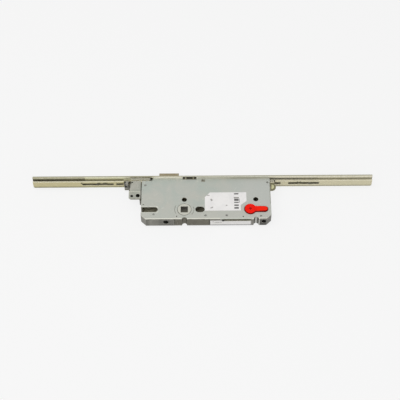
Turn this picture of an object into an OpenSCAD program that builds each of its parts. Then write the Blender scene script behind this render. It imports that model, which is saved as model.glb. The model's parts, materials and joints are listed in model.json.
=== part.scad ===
// Main unit of a multipoint door lock, lying on its side.
// X runs along the faceplate towards the door's lower end, Y from the case out through the
// faceplate, and Z up through the cover. The origin is the axis of the handle's follower,
// half way through the case. All sizes are millimetres.

/* [Faceplate] */
// Length of the faceplate
face_length = 482; // [440:1:600]
// From the follower's axis to the faceplate's upper end
face_reach = 215.5; // [190:0.5:280]
// Width of the faceplate
face_width = 24; // [20:0.5:30]
// Thickness of the faceplate
face_thick = 3; // [2.5:0.5:4]
// Radius of the holes for the screws into the door's edge
door_screw_r = 2.1; // [1.8:0.1:2.2]
// Place of the upper door screw along the faceplate
upper_screw_x = -113.9; // [-116:0.1:-110]
// Place of the lower door screw along the faceplate
lower_screw_x = 164; // [160:0.1:168]

/* [Case] */
// From the follower's axis to the front of the faceplate
backset = 55; // [54.5:0.5:60]
// From the follower's axis to the back of the rear wall
case_rear = 16.4; // [16:0.2:22]
// From the follower's axis to the case's upper end
case_upper = 60.5; // [60:0.5:70]
// From the follower's axis to the case's lower end
case_lower = 121; // [120:0.5:130]
// Thickness of the case over both plates
case_thick = 16; // [15:0.5:18]
// Thickness of the case's plates and walls
wall = 1.5; // [1:0.1:1.8]
// Leg of the bevelled rear corners
corner_cut = 7; // [4:0.5:9]
// Start of the dark strip in the rear wall
spacer_start = -14.4; // [-18:0.2:-12]
// End of the dark strip in the rear wall
spacer_end = 36; // [30:0.5:44]

/* [Handle and latch] */
// Side of the square hole for the handle's spindle
spindle_square = 10; // [8:0.5:10]
// Radius of the follower's journals
journal_r = 9.4; // [8.5:0.1:9.6]
// Angle that the handle turns the follower
handle_turn = 40; // [30:1:42]
// Distance that the handle draws the latch in
latch_travel = 9; // [7:0.5:9]
// Start of the latch head along the faceplate
latch_start = -36; // [-38:0.5:-35]
// Length of the latch head along the faceplate
latch_length = 28; // [24:0.5:28]
// How far the latch stands out of the faceplate
latch_out = 9; // [9:0.5:11]

/* [Deadbolt and rods] */
// Distance from the follower's axis to the cylinder's axis
centres = 92; // [90:0.5:96]
// Distance that the rods move
rod_travel = 10; // [8:0.5:10]
// Distance that the deadbolt is thrown
bolt_throw = 20; // [16:0.5:20]
// Start of the deadbolt along the faceplate
bolt_start = 28; // [27:0.5:29]
// Length of the deadbolt along the faceplate
bolt_length = 32; // [26:0.5:34]
// Width of the rods
rod_width = 12; // [10:0.5:12.5]
// Thickness of the rods
rod_thick = 2.5; // [2:0.1:2.8]
// How far the upper rod's inner end lies inside the case's upper end
upper_rod_inset = 10.6; // [10:0.1:13]
// How far the lower rod's inner end lies inside the case's lower end
lower_rod_inset = 5; // [3:0.5:6]
// Radius of the pins that join the slides to the rods
rod_pin_r = 2; // [1.6:0.1:2.2]

/* [Gearing] */
// Tooth module of the gears and racks
gear_module = 1.5; // [1.4:0.02:1.5]
// Number of teeth on the drive gear
drive_teeth = 14; // [12:1:14]

/* [Cylinder hole] */
// Radius of the round part of the cylinder's profile
profile_r = 8.5; // [8.2:0.1:8.6]
// Width of the profile's stem
profile_stem = 9.7; // [9:0.1:10]
// From the cylinder's axis to the end of the stem
profile_reach = 24.8; // [23:0.2:25]
// How far the plug stands out of the cover
plug_proud = 1.7; // [1:0.1:3]

/* [Hidden] */
$fn = 64;

// Clearances
fixed_gap = 0.05;   // round a pin or screw that stays put
run_gap = 0.1;      // round a shaft that turns, and between a slide and a plate
slide_gap = 0.2;    // round a bolt, rod or stud that slides
past = 1;           // how far a cut runs past the face that it opens

// Levels through the case
half = case_thick / 2;
inner = half - wall;
slide_thick = 2;
slide_high = inner - run_gap;
slide_low = slide_high - slide_thick;
mid = slide_low - slide_gap;

// Lines across the case
front = backset - face_thick;
rear = -case_rear;
rod_back_gap = 0.8;
rod_front = front - rod_back_gap;
rod_back = rod_front - rod_thick;
block_depth = 4.2;
block_back = front - block_depth;

// Colours
zinc_grey = "#b5bbb2";
dark_olive = "#706c5f";
gold_zinc = "#c2b992";
latch_bronze = "#9d9179";
steel = "#9a9a96";
red_plastic = "#e8260f";
paper_white = "#f0f0ee";

// Round marks and holes in both plates
rose_hole_r = 3.6;
rose_upper = [0, 16.5];
rose_lower = [centres + 8, 16.5];
eye_x = 21.8;
eye_length = 12.8;
eye_width = 9.4;
slot_end = -36.9;
slot_width = 8.4;
notch_r = 3.5;
notch_wall = 1.2;
notch_upper = 0.25;
notch_lower = centres + 7.7;

// Case fasteners
rivet_r = 1.6;
rivet_upper_inset = [5.3, 10.5];
rivet_lower_inset = [3.7, 6.7];
rivet_corner_inset = [14.7, 5.2];
rivet_rear = [[-42.7, -8.1], [29.5, -10.3], [58.8, -10.1]];
rivets = concat([
    [-case_upper + rivet_upper_inset.x, front - rivet_upper_inset.y],
    [case_lower - rivet_lower_inset.x, front - rivet_lower_inset.y],
    [case_lower - rivet_corner_inset.x, rear + rivet_corner_inset.y]], rivet_rear);
block_screw_r = 2;
block_screw_head_r = 3.8;
block_screw_recess = 0.2;

// Gearing
pressure_angle = 25;
tooth_pitch = PI * gear_module;
addendum = 0.8 * gear_module;
dedendum = gear_module;
backlash = 0.15;
pinion_teeth = 10;
pinion_r = pinion_teeth * gear_module / 2;
pinion_x = 10;
pinion_depth = 17.5;
pinion_y = front - pinion_depth;
pinion_post_r = 2.5;
pinion_end_gap = 0.2;
drive_r = drive_teeth * gear_module / 2;
drive_offset = 11;
drive_x = centres - drive_offset;
drive_y = 19;
gear_post_r = 3;
left_rack_y = pinion_y - pinion_r;
top_rack_y = pinion_y + pinion_r;
right_rack_y = drive_y + drive_r;

// Rods and their couplings
upper_rod_end = -case_upper + upper_rod_inset;
lower_rod_end = case_lower - lower_rod_inset;
rod_slot_r = 2.25;
upper_corner_end = upper_rod_end + 4.1;
block_gap = 0.4;
upper_block_start = upper_corner_end + 0.3;
upper_block_end = latch_start - block_gap;
block_screws = [(upper_block_start + upper_block_end) / 2, 10, 66, 100];
upper_slot_reach = [-31.9, 13.2];
lower_slot_reach = [-16.7, 27.5];
upper_slot = [upper_screw_x + upper_slot_reach[0], upper_screw_x + upper_slot_reach[1]];
lower_slot = [lower_screw_x + lower_slot_reach[0], lower_screw_x + lower_slot_reach[1]];
upper_short_reach = [-47.6, -36.6];
lower_short_reach = [11.5, 20.8];
upper_short_slot = [upper_rod_end + upper_short_reach[0], upper_rod_end + upper_short_reach[1]];
lower_short_slot = [lower_rod_end + lower_short_reach[0], lower_rod_end + lower_short_reach[1]];
upper_stud_reach = -11.1;
lower_stud_reach = 14;
upper_stud_x = upper_screw_x + upper_stud_reach;
lower_stud_x = lower_screw_x + lower_stud_reach;
stud_r = rod_slot_r - slide_gap;
stud_tenon_r = 1.5;
upper_pin_inset = 3.1;
lower_pin_inset = 8.6;
upper_pin_x = upper_rod_end - upper_pin_inset;
lower_pin_x = lower_rod_end + lower_pin_inset;
lower_notch_inset = 11.2;
lower_notch_width = 1.5;
lower_notch_x = lower_rod_end + lower_notch_inset;
upper_pin_z = -1;
lower_pin_z = 0;
tab_gap = 1.1;
tab_thick = 3.7;
tab_wall = 1;
tab_rise = 4;
tab_front = rod_back - tab_gap;
tab_back = tab_front - tab_thick;
tab_margin = rod_pin_r + tab_wall;

// Latch
latch_depth = 12;
latch_back = front - latch_depth;
latch_low = -mid;
latch_rise = 1;
latch_high = mid + latch_rise;
latch_tip = 2;
latch_bevel_start = 1.6;
tail_low = -mid + run_gap;
tail_high = -0.3;
tail_inset = 10;
tail_width = 10;
tail_start = latch_start + tail_inset;
tail_end = tail_start + tail_width;
latch_pin_r = 2;
latch_pin_at = [-15, -3.5];
foot_margin = [3, 2.5];
tail_foot = latch_pin_at.y - 2;
spring_inset = 5;
spring_x = latch_start + spring_inset;
spring_r = 3.2;
spring_wire_r = 0.5;
seat_front = 16;
seat_depth = 4;
seat_half = 4;

// Follower's arm: its working edge keeps clear of the latch pin through the whole turn
disc_r = 11;
arm_low = 0.3;
arm_steps = 6;
arm_tip = 4;
function turned(p, a) = [p.x * cos(a) - p.y * sin(a), p.x * sin(a) + p.y * cos(a)];
function pin_path(a) = turned(latch_pin_at - [0, latch_travel * a / handle_turn], -a);
function unit(v) = v / norm(v);
function pin_course(a) = unit(pin_path(a + 0.5) - pin_path(a - 0.5));
function arm_edge(a) = pin_path(a) + (latch_pin_r + slide_gap) * [pin_course(a).y, -pin_course(a).x];
arm_edge_points = [for (i = [0:arm_steps]) arm_edge(i * handle_turn / arm_steps)];
arm_end = arm_edge_points[arm_steps];
arm_points = concat([[-disc_r / 2, -1.6]], arm_edge_points,
    [arm_end + [-1.6, 1.4], arm_end + [-1.8, arm_tip], [-disc_r / 2, arm_end.y + arm_tip + 2]]);

// Deadbolt
bolt_head_depth = 15;
bolt_back = front - bolt_head_depth;
bolt_tail_inset = 2;
bolt_tail_width = 20;
bolt_tail_length = 30;
bolt_tail_start = bolt_start + bolt_tail_inset;
bolt_tail_end = bolt_tail_start + bolt_tail_width;
bolt_tail_back = bolt_back - bolt_tail_length;
bolt_slot_inset = 6;
bolt_slot_x = bolt_start + bolt_slot_inset;
bolt_slot_r = 2.1;
bolt_slot_spare = 0.5;
bolt_post_depth = 18.5;
bolt_post_y = front - bolt_post_depth;
bolt_post_r = bolt_slot_r - run_gap;
bolt_slot = [bolt_post_y - bolt_throw - bolt_slot_spare, bolt_post_y + bolt_slot_spare];
bolt_pin_r = 2.4;
bolt_pin_inset = 16;
bolt_pin_depth = 21;
bolt_pin_at = [bolt_start + bolt_pin_inset, bolt_back - bolt_pin_depth];
bolt_pin_top = slide_high - run_gap;
cam_end = bolt_pin_at + [-rod_travel, bolt_throw];

// A box between two corners
module slab(x0, x1, y0, y1, z0, z1) {
    translate([x0, y0, z0]) cube([x1 - x0, y1 - y0, z1 - z0]);
}

// A round post along Z
module post(at, r, z0, z1) {
    translate([at.x, at.y, z0]) cylinder(r = r, h = z1 - z0);
}

// A round bar along Y, at a place along the faceplate and a height
module bar(x, z, r, y0, y1) {
    translate([x, y0, z]) rotate([-90, 0, 0]) cylinder(r = r, h = y1 - y0);
}

// A slot along X with round ends, cut along Y
module long_hole(ends, r, y0, y1) {
    slab(ends[0] + r, ends[1] - r, y0, y1, -r, r);
    for (x = [ends[0] + r, ends[1] - r]) bar(x, 0, r, y0, y1);
}

// Outline of the case, drawn in by an inset on all sides but the front
function case_outline(inset) =
    let (
        x0 = -case_upper + inset,
        x1 = case_lower - inset,
        y0 = rear + inset,
        cut = corner_cut - inset * (2 - sqrt(2))
    )
    [[x0, front], [x0, y0 + cut], [x0 + cut, y0], [x1 - cut, y0], [x1, y0 + cut], [x1, front]];

// Profile of a lock cylinder, grown by a clearance
module cylinder_profile(grow, z0, z1) {
    stem = profile_stem / 2 + grow;
    stem_x = centres + profile_reach - profile_stem / 2;
    post([centres, 0], profile_r + grow, z0, z1);
    slab(centres, stem_x, -stem, stem, z0, z1);
    post([stem_x, 0], stem, z0, z1);
}

// What is cut through both plates of the case
module plate_cuts() {
    z0 = -half - past;
    z1 = half + past;
    post([0, 0], journal_r + run_gap, z0, z1);
    for (at = [rose_upper, rose_lower]) post(at, rose_hole_r, z0, z1);
    cylinder_profile(slide_gap, z0, z1);
    eye_run = (eye_length - eye_width) / 2;
    slab(eye_x - eye_run, eye_x + eye_run, -eye_width / 2, eye_width / 2, z0, z1);
    for (side = [-1, 1]) post([eye_x + side * eye_run, 0], eye_width / 2, z0, z1);
    slab(-case_upper - past, slot_end - slot_width / 2, -slot_width / 2, slot_width / 2, z0, z1);
    post([slot_end - slot_width / 2, 0], slot_width / 2, z0, z1);
    for (x = [notch_upper, notch_lower]) post([x, rear], notch_r, z0, z1);
    for (at = rivets) post(at, rivet_r + fixed_gap, z0, z1);
}

// The front corners, where the rods run in beside the case
corner_deep = 4.5;
corner_room = 1.8;
plate_setback = 2.7;
module front_corner(x0, x1, deep) slab(x0, x1, front - deep, front + past, -half - past, half + past);
module upper_corner(deep) front_corner(-case_upper - past, upper_corner_end, deep);
module lower_corner(deep) front_corner(lower_rod_end - corner_room, case_lower + past, deep);

// Spur gear with involute flanks and a tooth towards +Y
function flank_turn(r, base_r) =
    let (a = acos(min(1, base_r / r)))
    tan(a) * 180 / PI - a;
function tooth_flank(pitch_r, teeth) =
    let (
        base_r = pitch_r * cos(pressure_angle),
        low = max(base_r, pitch_r - dedendum),
        high = pitch_r + addendum,
        half_tooth = 90 / teeth - backlash / pitch_r * 180 / PI + flank_turn(pitch_r, base_r),
        steps = 5
    )
    concat(
        [[pitch_r - dedendum, half_tooth]],
        [for (i = [0:steps]) let (r = low + (high - low) * i / steps) [r, half_tooth - flank_turn(r, base_r)]]
    );
module gear_outline(pitch_r, teeth) {
    flank = tooth_flank(pitch_r, teeth);
    last = len(flank) - 1;
    points = [for (t = [0:teeth - 1], i = [0:2 * last + 1])
        let (
            p = i <= last ? flank[i] : flank[2 * last + 1 - i],
            side = i <= last ? -1 : 1,
            a = 90 + t * 360 / teeth + side * p[1]
        )
        p[0] * [cos(a), sin(a)]];
    polygon(points);
}

// Rack teeth either side of a space at x, pointing up the page for side 1 and down for side -1
module rack_teeth(x, pitch_y, side, first, count) {
    sunk = 0.3;
    for (k = [first:first + count - 1]) {
        at = x + (k + 0.5) * tooth_pitch;
        low = -dedendum - sunk;
        waist = tooth_pitch / 4 - backlash;
        wide = waist - low * tan(pressure_angle);
        slim = waist - addendum * tan(pressure_angle);
        translate([at, pitch_y])
            polygon([[-wide, side * low], [wide, side * low],
                [slim, side * addendum], [-slim, side * addendum]]);
    }
}

// A wire swept along a list of points that wind round an axis, closed at both ends
wire_sides = 6;
module wire(path, r, axis) {
    count = len(path);
    rings = [for (i = [0:count - 1])
        let (
            course = unit(path[min(i + 1, count - 1)] - path[max(i - 1, 0)]),
            across = unit(cross(course, axis)),
            up = cross(course, across)
        )
        for (j = [0:wire_sides - 1])
            let (a = 360 * j / wire_sides) path[i] + r * (cos(a) * across + sin(a) * up)];
    sides = [for (i = [0:count - 2], j = [0:wire_sides - 1])
        let (
            k = (j + 1) % wire_sides,
            a = i * wire_sides + j,
            b = i * wire_sides + k
        )
        each [[a, b, b + wire_sides], [a, b + wire_sides, a + wire_sides]]];
    last = (count - 1) * wire_sides;
    caps = [for (j = [1:wire_sides - 2])
        each [[0, j + 1, j], [last, last + j, last + j + 1]]];
    polyhedron(points = rings, faces = concat(sides, caps));
}

// Countersunk hole along Y in the faceplate
module face_hole(x, r, sink_r) {
    bar(x, 0, r, front - past, backset + past);
    deep = sink_r - r;
    translate([x, backset + fixed_gap, 0]) rotate([90, 0, 0])
        cylinder(r1 = sink_r, r2 = r, h = deep);
}

cylinder_screw_x = centres + 20;
cylinder_screw_r = 2.6;
door_sink_r = 3.9;
edge_notch = [-2.5, 17];
edge_notch_deep = 1.6;
edge_notch_floor = half - 0.5;
notch_pip_inset = 4.3;
notch_pip_r = 0.9;
notch_pip_height = 3.2;
module notch_pips() for (x = [edge_notch[0] + notch_pip_inset, edge_notch[1] - notch_pip_inset])
    post([x, front + edge_notch_deep - notch_pip_r / 2], notch_pip_r, edge_notch_floor - past,
        edge_notch_floor + notch_pip_height);
module faceplate() color(gold_zinc) {
    drilled_faceplate();
    notch_pips();
}
module drilled_faceplate() difference() {
    slab(-face_reach, face_length - face_reach, front, backset, -face_width / 2, face_width / 2);
    slab(latch_start - slide_gap, latch_start + latch_length + slide_gap, front - past, backset + past,
        latch_low - slide_gap, latch_high + slide_gap);
    slab(bolt_start - slide_gap, bolt_start + bolt_length + slide_gap, front - past, backset + past,
        -mid - slide_gap, mid + slide_gap);
    for (x = [upper_screw_x, lower_screw_x]) face_hole(x, door_screw_r, door_sink_r);
    for (x = block_screws) face_hole(x, block_screw_r + fixed_gap, block_screw_head_r + fixed_gap);
    bar(cylinder_screw_x, 0, cylinder_screw_r, front - past, backset + past);
    slab(edge_notch[0], edge_notch[1], front - past, front + edge_notch_deep, edge_notch_floor,
        face_width / 2 + past);
    for (x = [upper_stud_x, lower_stud_x]) bar(x, 0, stud_tenon_r + fixed_gap, front - past, backset + past);
}

wall_end = front - 8.8;
rear_hole_upper = [-25.5, 4];
rear_hole_lower = [case_lower - 10.5, 3.3];
rear_slit = [54, 92];
slit_height = 2.2;
slit_end_r = 1.5;
module case_tray() color(zinc_grey) difference() {
    translate([0, 0, -half]) linear_extrude(half + inner) polygon(case_outline(0));
    difference() {
        translate([0, 0, -inner]) linear_extrude(2 * inner + past) polygon(case_outline(wall));
        post([notch_lower, rear], notch_r + notch_wall, -half, half);
    }
    slab(-case_upper - past, case_lower + past, wall_end, front + past, -inner, half);
    slab(case_lower - 2 * wall, case_lower + past, right_rack_y + dedendum - 0.5, wall_end + past,
        slide_low - slide_gap, half);
    slab(spacer_start, spacer_end, rear - past, rear + wall + past, -inner, half);
    bar(rear_hole_upper[0], 0.5, rear_hole_upper[1], rear - past, rear + wall + past);
    bar(rear_hole_lower[0], 1.4, rear_hole_lower[1], rear - past, rear + wall + past);
    slab(rear_slit[0], rear_slit[1], rear - past, rear + wall + past, inner - slit_height, half);
    bar(rear_slit[0], inner - slit_end_r, slit_end_r, rear - past, rear + wall + past);
    plate_cuts();
    upper_corner(corner_deep);
    lower_corner(corner_deep);
}

arc_r = 13.4;
arc_deep = 0.25;
hub_ring = 0.5;
press_mark_r = 0.9;
press_marks = [[centres - 10.2, rear + 4.1], [3.2 - case_upper, 8.6], [-10.7, rear + 4.9]];
mid_stud_x = bolt_start - 2.4;
module cover_plate() color(zinc_grey) difference() {
    translate([0, 0, inner]) linear_extrude(wall) polygon(case_outline(0));
    plate_cuts();
    upper_corner(plate_setback);
    post([mid_stud_x, front - 2.3], block_stud_r + fixed_gap, 0, half + past);
    post([0, 0], journal_r + hub_ring, half - hub_ring, half + past);
    for (at = press_marks) post(at, press_mark_r, half - arc_deep, half + past);
    translate([0, 0, half - arc_deep]) for (start = [150, 320])
        rotate([0, 0, start]) rotate_extrude(angle = 60) translate([arc_r - 0.2, 0]) square([0.4, 1]);
}

module rear_spacer() color(dark_olive) difference() {
    union() {
        slab(spacer_start, spacer_end, rear, rear + wall, -inner, inner);
        intersection() {
            post([notch_upper, rear], notch_r + notch_wall, -inner, inner);
            slab(spacer_start, spacer_end, rear, rear + 3 * notch_r, -inner, inner);
        }
    }
    post([notch_upper, rear], notch_r, -half, half);
}

module case_rivets() color(steel) for (at = rivets) post(at, rivet_r, -half, half);

// Countersunk screw from the faceplate into a front block, with a cross recess
module block_screw(x) {
    head_r = block_screw_head_r - block_screw_recess - fixed_gap;
    top = backset - block_screw_recess;
    recess = block_screw_r * 0.35;
    difference() {
        union() {
            bar(x, 0, block_screw_r, block_back + 0.3, top);
            translate([x, top, 0]) rotate([90, 0, 0])
                cylinder(r1 = head_r, r2 = block_screw_r, h = head_r - block_screw_r);
        }
        for (turn = [0, 90]) translate([x, top, 0]) rotate([0, turn, 0])
            cube([2 * block_screw_r, 2 * recess * 2, recess], center = true);
    }
}
module case_screws() color(steel) for (x = block_screws) block_screw(x);

// Block between the faceplate and the case, drilled for its screws
block_stud_r = 1.5;
module front_block(x0, x1) difference() {
    slab(x0, x1, block_back, front, -inner, inner);
    for (x = block_screws) if (x > x0 && x < x1)
        bar(x, 0, block_screw_r + fixed_gap, block_back - past, front + past);
}
module front_block_upper() color(steel)
    front_block(upper_block_start, upper_block_end);
module front_block_mid() color(dark_olive) {
    front_block(latch_start + latch_length + block_gap, bolt_start - block_gap);
    post([mid_stud_x, front - 2.3], block_stud_r, inner, half);
}
module front_block_lower() color(steel)
    front_block(bolt_start + bolt_length + block_gap, lower_rod_end - 7.5);

module guide_studs() color(steel) for (x = [upper_stud_x, lower_stud_x]) {
    bar(x, 0, stud_r, rod_back, front);
    bar(x, 0, stud_tenon_r, front, backset);
}

// Guide for the coupling between the case and the upper rod
housing_start = -case_upper - 17.8;
housing_end = -case_upper - 1.1;
housing_back = front - 20.8;
housing_front = tab_back - 0.5;
housing_wall = 2.5;
foot_low = rod_width / 2 + 0.6;
foot_high = face_width / 2 - 0.5;
module guide_housing() color(zinc_grey) difference() {
    union() {
        slab(housing_start, housing_end, housing_back + wall, housing_front, -foot_high, inner);
        slab(housing_start, housing_end, housing_back + wall, front, -foot_high, -foot_low);
    }
    slab(housing_start + housing_wall, housing_end - housing_wall, housing_back + wall + housing_wall,
        housing_front - housing_wall, -inner, inner + past);
}
flange_back = 18.7;
flange_drop = 1.2;
cover_front = front - plate_setback;
guide_slant = 2.3;
guide_corner = 1.4;
module guide_cover() color(zinc_grey) difference() {
    union() {
        guide_plate();
        guide_flange();
        slab(housing_start, housing_end, housing_back, housing_back + wall, inner - flange_drop, half);
        slab(housing_end - wall, housing_end, flange_back, housing_back + wall, -half, inner);
    }
    post([housing_start + 4.3, flange_back + 5.3], 2, 0, half + past);
    post([housing_end - 3.9, flange_back + 5.9], 2.9, 0, half + past);
    post([housing_start + 4.2, cover_front - 2.8], 1.1, 0, half + past);
}
module guide_plate() translate([0, 0, inner]) linear_extrude(wall) polygon([
    [housing_start, housing_back], [housing_end, housing_back], [housing_end, cover_front],
    [housing_start + guide_slant + guide_corner, cover_front],
    [housing_start + guide_slant, cover_front - guide_corner]]);
module guide_flange() {
    corner = 2.5;
    translate([0, 0, inner - flange_drop]) linear_extrude(wall) polygon([
        [housing_start, housing_back + wall], [housing_start, flange_back + corner],
        [housing_start + corner, flange_back], [housing_end, flange_back],
        [housing_end, housing_back + wall]]);
}

// Staple round the upper rod, held by the faceplate, with its upper arm cut short and slanted
keeper_start = housing_start - 7.2;
keeper_end = housing_start - 1.2;
keeper_depth = 4.5;
keeper_slant = [2.6, 6];
keeper_hole_z = 1;
keeper_hole_r = 1.2;
module rod_keeper() color(steel) difference() {
    slab(keeper_start, keeper_end, rod_back - keeper_depth, front, -half, half);
    slab(keeper_start - past, keeper_end + past, rod_back - slide_gap, front + past,
        -rod_width / 2 - slide_gap, rod_width / 2 + slide_gap);
    bar((keeper_start + keeper_end) / 2, keeper_hole_z, keeper_hole_r,
        rod_back - keeper_depth - past, rod_back);
    linear_extrude(half + past) polygon([[keeper_start - past, cover_front - keeper_slant.y],
        [keeper_start + keeper_slant.x, cover_front], [keeper_end + past, cover_front],
        [keeper_end + past, front + past], [keeper_start - past, front + past]]);
}

module latch_spring_seat() color(steel)
    slab(spring_x - seat_half, spring_x + seat_half, seat_front - seat_depth, seat_front, -inner, inner);

// Compression spring behind the latch, with closed end turns left out
spring_turns = 8;
spring_steps = 8;
spring_ends = [seat_front + spring_wire_r + run_gap, latch_back - spring_wire_r - run_gap];
spring_pitch = (spring_ends[1] - spring_ends[0]) / spring_turns;
echo(latch_spring_gap = spring_pitch - 2 * spring_wire_r);
module latch_spring() color(steel) {
    count = spring_turns * spring_steps;
    coil_r = spring_r - spring_wire_r;
    wire([for (i = [0:count])
        let (a = 360 * i / spring_steps)
        [spring_x + coil_r * cos(a), spring_ends[0] + spring_pitch * i / spring_steps, coil_r * sin(a)]],
        spring_wire_r, [0, 1, 0]);
}

// Torsion spring round the follower's upper journal, with a leg to the case
torsion_r = journal_r + 1.1;
torsion_wire_r = 0.3;
torsion_turns = 1.25;
torsion_start = 200;
torsion_leg = 4;
torsion_low = mid + torsion_wire_r + run_gap;
torsion_high = inner - torsion_wire_r - run_gap;
echo(follower_spring_gap = (torsion_high - torsion_low) / torsion_turns - 2 * torsion_wire_r);
module follower_spring() color(steel) {
    count = ceil(torsion_turns * 24);
    turns = [for (i = [0:count])
        let (a = torsion_start + 360 * torsion_turns * i / count)
        [torsion_r * cos(a), torsion_r * sin(a), torsion_low + (torsion_high - torsion_low) * i / count]];
    leg_turn = torsion_start + 360 * torsion_turns + 70;
    leg = turns[count] + torsion_leg * [cos(leg_turn), sin(leg_turn), 0];
    wire(concat(turns, [leg]), torsion_wire_r, [0, 0, 1]);
}

module bolt_guide_post() color(steel) post([bolt_slot_x, bolt_post_y], bolt_post_r, -inner, mid);
module gear_post() color(steel) post([drive_x, drive_y], gear_post_r, -inner, inner);
module pinion_post() color(steel) post([pinion_x, pinion_y], pinion_post_r, -inner, inner);

label_thick = 0.15;
label_left = 28.7;
label_right = centres - 5;
label_low = -2.4;
label_high = 28.3;
label_step = 8.3;
module face_label() color(paper_white) translate([0, 0, half]) linear_extrude(label_thick)
    polygon([[label_left + 7.2, label_high], [label_right, label_high], [label_right, 13.5],
        [label_right - label_step, 6.8], [label_right - label_step, label_low],
        [label_left, label_low], [label_left, 20.3]]);
module edge_label() color(paper_white)
    slab(spacer_end, notch_lower - notch_r - 2.2, rear - label_thick, rear, -inner - 0.8, 3.9);

module follower() color(steel) difference() {
    union() {
        post([0, 0], journal_r, -half, half);
        post([0, 0], disc_r, -mid, mid);
        translate([0, 0, arm_low]) linear_extrude(mid - arm_low) polygon(arm_points);
    }
    side = spindle_square / 2;
    slab(-side, side, -side, side, -half - past, half + past);
}

module latch_head() color(latch_bronze) translate([latch_start, 0, 0]) rotate([90, 0, 90])
    linear_extrude(latch_length) polygon([
        [latch_back, latch_low], [latch_back, latch_high], [backset + latch_out, latch_high],
        [backset + latch_out, latch_high - latch_tip], [backset + latch_bevel_start, latch_low]]);

module latch_tail() color(steel) difference() {
    union() {
        slab(tail_start, tail_end, tail_foot, latch_back, tail_low, tail_high);
        slab(tail_start, latch_pin_at.x + foot_margin.x, tail_foot, latch_pin_at.y + foot_margin.y,
            tail_low, tail_high);
    }
    post(latch_pin_at, latch_pin_r + fixed_gap, -half, half);
}
module latch_pin() color(steel) post(latch_pin_at, latch_pin_r, tail_low, mid - run_gap);

module deadbolt() color(latch_bronze) difference() {
    union() {
        slab(bolt_start, bolt_start + bolt_length, bolt_back, backset, -mid, mid);
        slab(bolt_tail_start, bolt_tail_end, bolt_tail_back, bolt_back + past, -mid, mid);
    }
    slab(bolt_slot_x - bolt_slot_r, bolt_slot_x + bolt_slot_r, bolt_slot[0], bolt_slot[1], -half, half);
    for (y = bolt_slot) post([bolt_slot_x, y], bolt_slot_r, -half, half);
    post(bolt_pin_at, bolt_pin_r + fixed_gap, -half, half);
}
module deadbolt_pin() color(steel) post(bolt_pin_at, bolt_pin_r, -mid, bolt_pin_top);

// Lower slide: rack for the pinion, inclined slot for the deadbolt's pin, rack for the drive
// gear, and a lug outside the case that takes the lower rod's pin
strip_width = 4.7;
strip_reach = 19.5;
drive_strip_width = 8;
web_wall = 5.5;
web_foot = 6;
web_crest = 3.4;
web_slope = 5.5;
lug_r = 6;
lug_depth = 13.3;
lug_gap = 0.3;
lug_neck = 2;
lug_y = front - lug_depth;
lug_start = case_lower + lug_gap;
lug_tip = lug_start + lug_neck;
module lower_slide_outline() {
    left_root = left_rack_y - dedendum;
    right_root = right_rack_y + dedendum;
    web_left = cam_end.x - web_wall;
    web_right = bolt_pin_at.x + web_wall;
    web_low = bolt_pin_at.y - web_foot;
    web_top = cam_end.y + bolt_pin_r + web_crest;
    foot_left = bolt_pin_at.x - web_wall;
    strip_start = pinion_x - strip_reach;
    strip_low = left_root - strip_width;
    strip_top = right_root + drive_strip_width;
    polygon([[strip_start, left_root], [strip_start, strip_low], [foot_left - web_slope, strip_low],
        [foot_left, web_low], [web_right, web_low], [web_right, right_root], [lug_start - past, right_root],
        [lug_start + past, right_root + lug_neck], [lug_start + past, strip_top],
        [web_right + lug_neck, strip_top], [web_right - lug_neck, web_top],
        [web_left, web_top], [web_left, left_root]]);
    rack_teeth(pinion_x, left_rack_y, 1, -4, 6);
    rack_teeth(drive_x, right_rack_y, -1, -4, 6);
}
module slide_lug() difference() {
    union() {
        slab(lug_start, lug_tip, lug_y - lug_r, lug_y + lug_r, slide_low, slide_high);
        post([lug_tip, lug_y], lug_r, slide_low, slide_high);
    }
    slab(lug_tip - 2 * lug_r, lug_start, lug_y - 2 * lug_r, lug_y + 2 * lug_r, 0, half);
}
module lower_slide() color(gold_zinc) difference() {
    slot_ease = 0.03;
    slot_r = bolt_pin_r + run_gap + slot_ease;
    run = cam_end - bolt_pin_at;
    union() {
        translate([0, 0, slide_low]) linear_extrude(slide_thick) lower_slide_outline();
        slide_lug();
        slab(lug_start, lower_pin_x + tab_margin, tab_back, tab_front, lower_pin_z - tab_rise, slide_high);
    }
    for (at = [bolt_pin_at, cam_end]) post(at, slot_r, 0, half);
    translate(bolt_pin_at) rotate([0, 0, atan2(run.y, run.x)])
        slab(0, norm(run), -slot_r + slot_ease, slot_r - slot_ease, 0, half);
    bar(lower_pin_x, lower_pin_z, rod_pin_r + fixed_gap, tab_back - past, tab_front + past);
}

// Upper slide: rack for the pinion and a tab that takes the upper rod's pin
upper_strip_reach = 26;
module upper_slide() color(gold_zinc) difference() {
    root = top_rack_y + dedendum;
    tab_start = upper_pin_x - tab_margin;
    tab_end = upper_pin_x + tab_margin;
    strip_end = pinion_x + upper_strip_reach;
    union() {
        translate([0, 0, -slide_high]) linear_extrude(slide_thick) {
            polygon([[tab_start, root], [strip_end, root], [strip_end, tab_front], [tab_start, tab_front]]);
            rack_teeth(pinion_x, top_rack_y, -1, -2, 6);
        }
        slab(tab_start, tab_end, tab_back, tab_front, -slide_high, upper_pin_z + tab_rise);
    }
    bar(upper_pin_x, upper_pin_z, rod_pin_r + fixed_gap, tab_back - past, tab_front + past);
}

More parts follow.
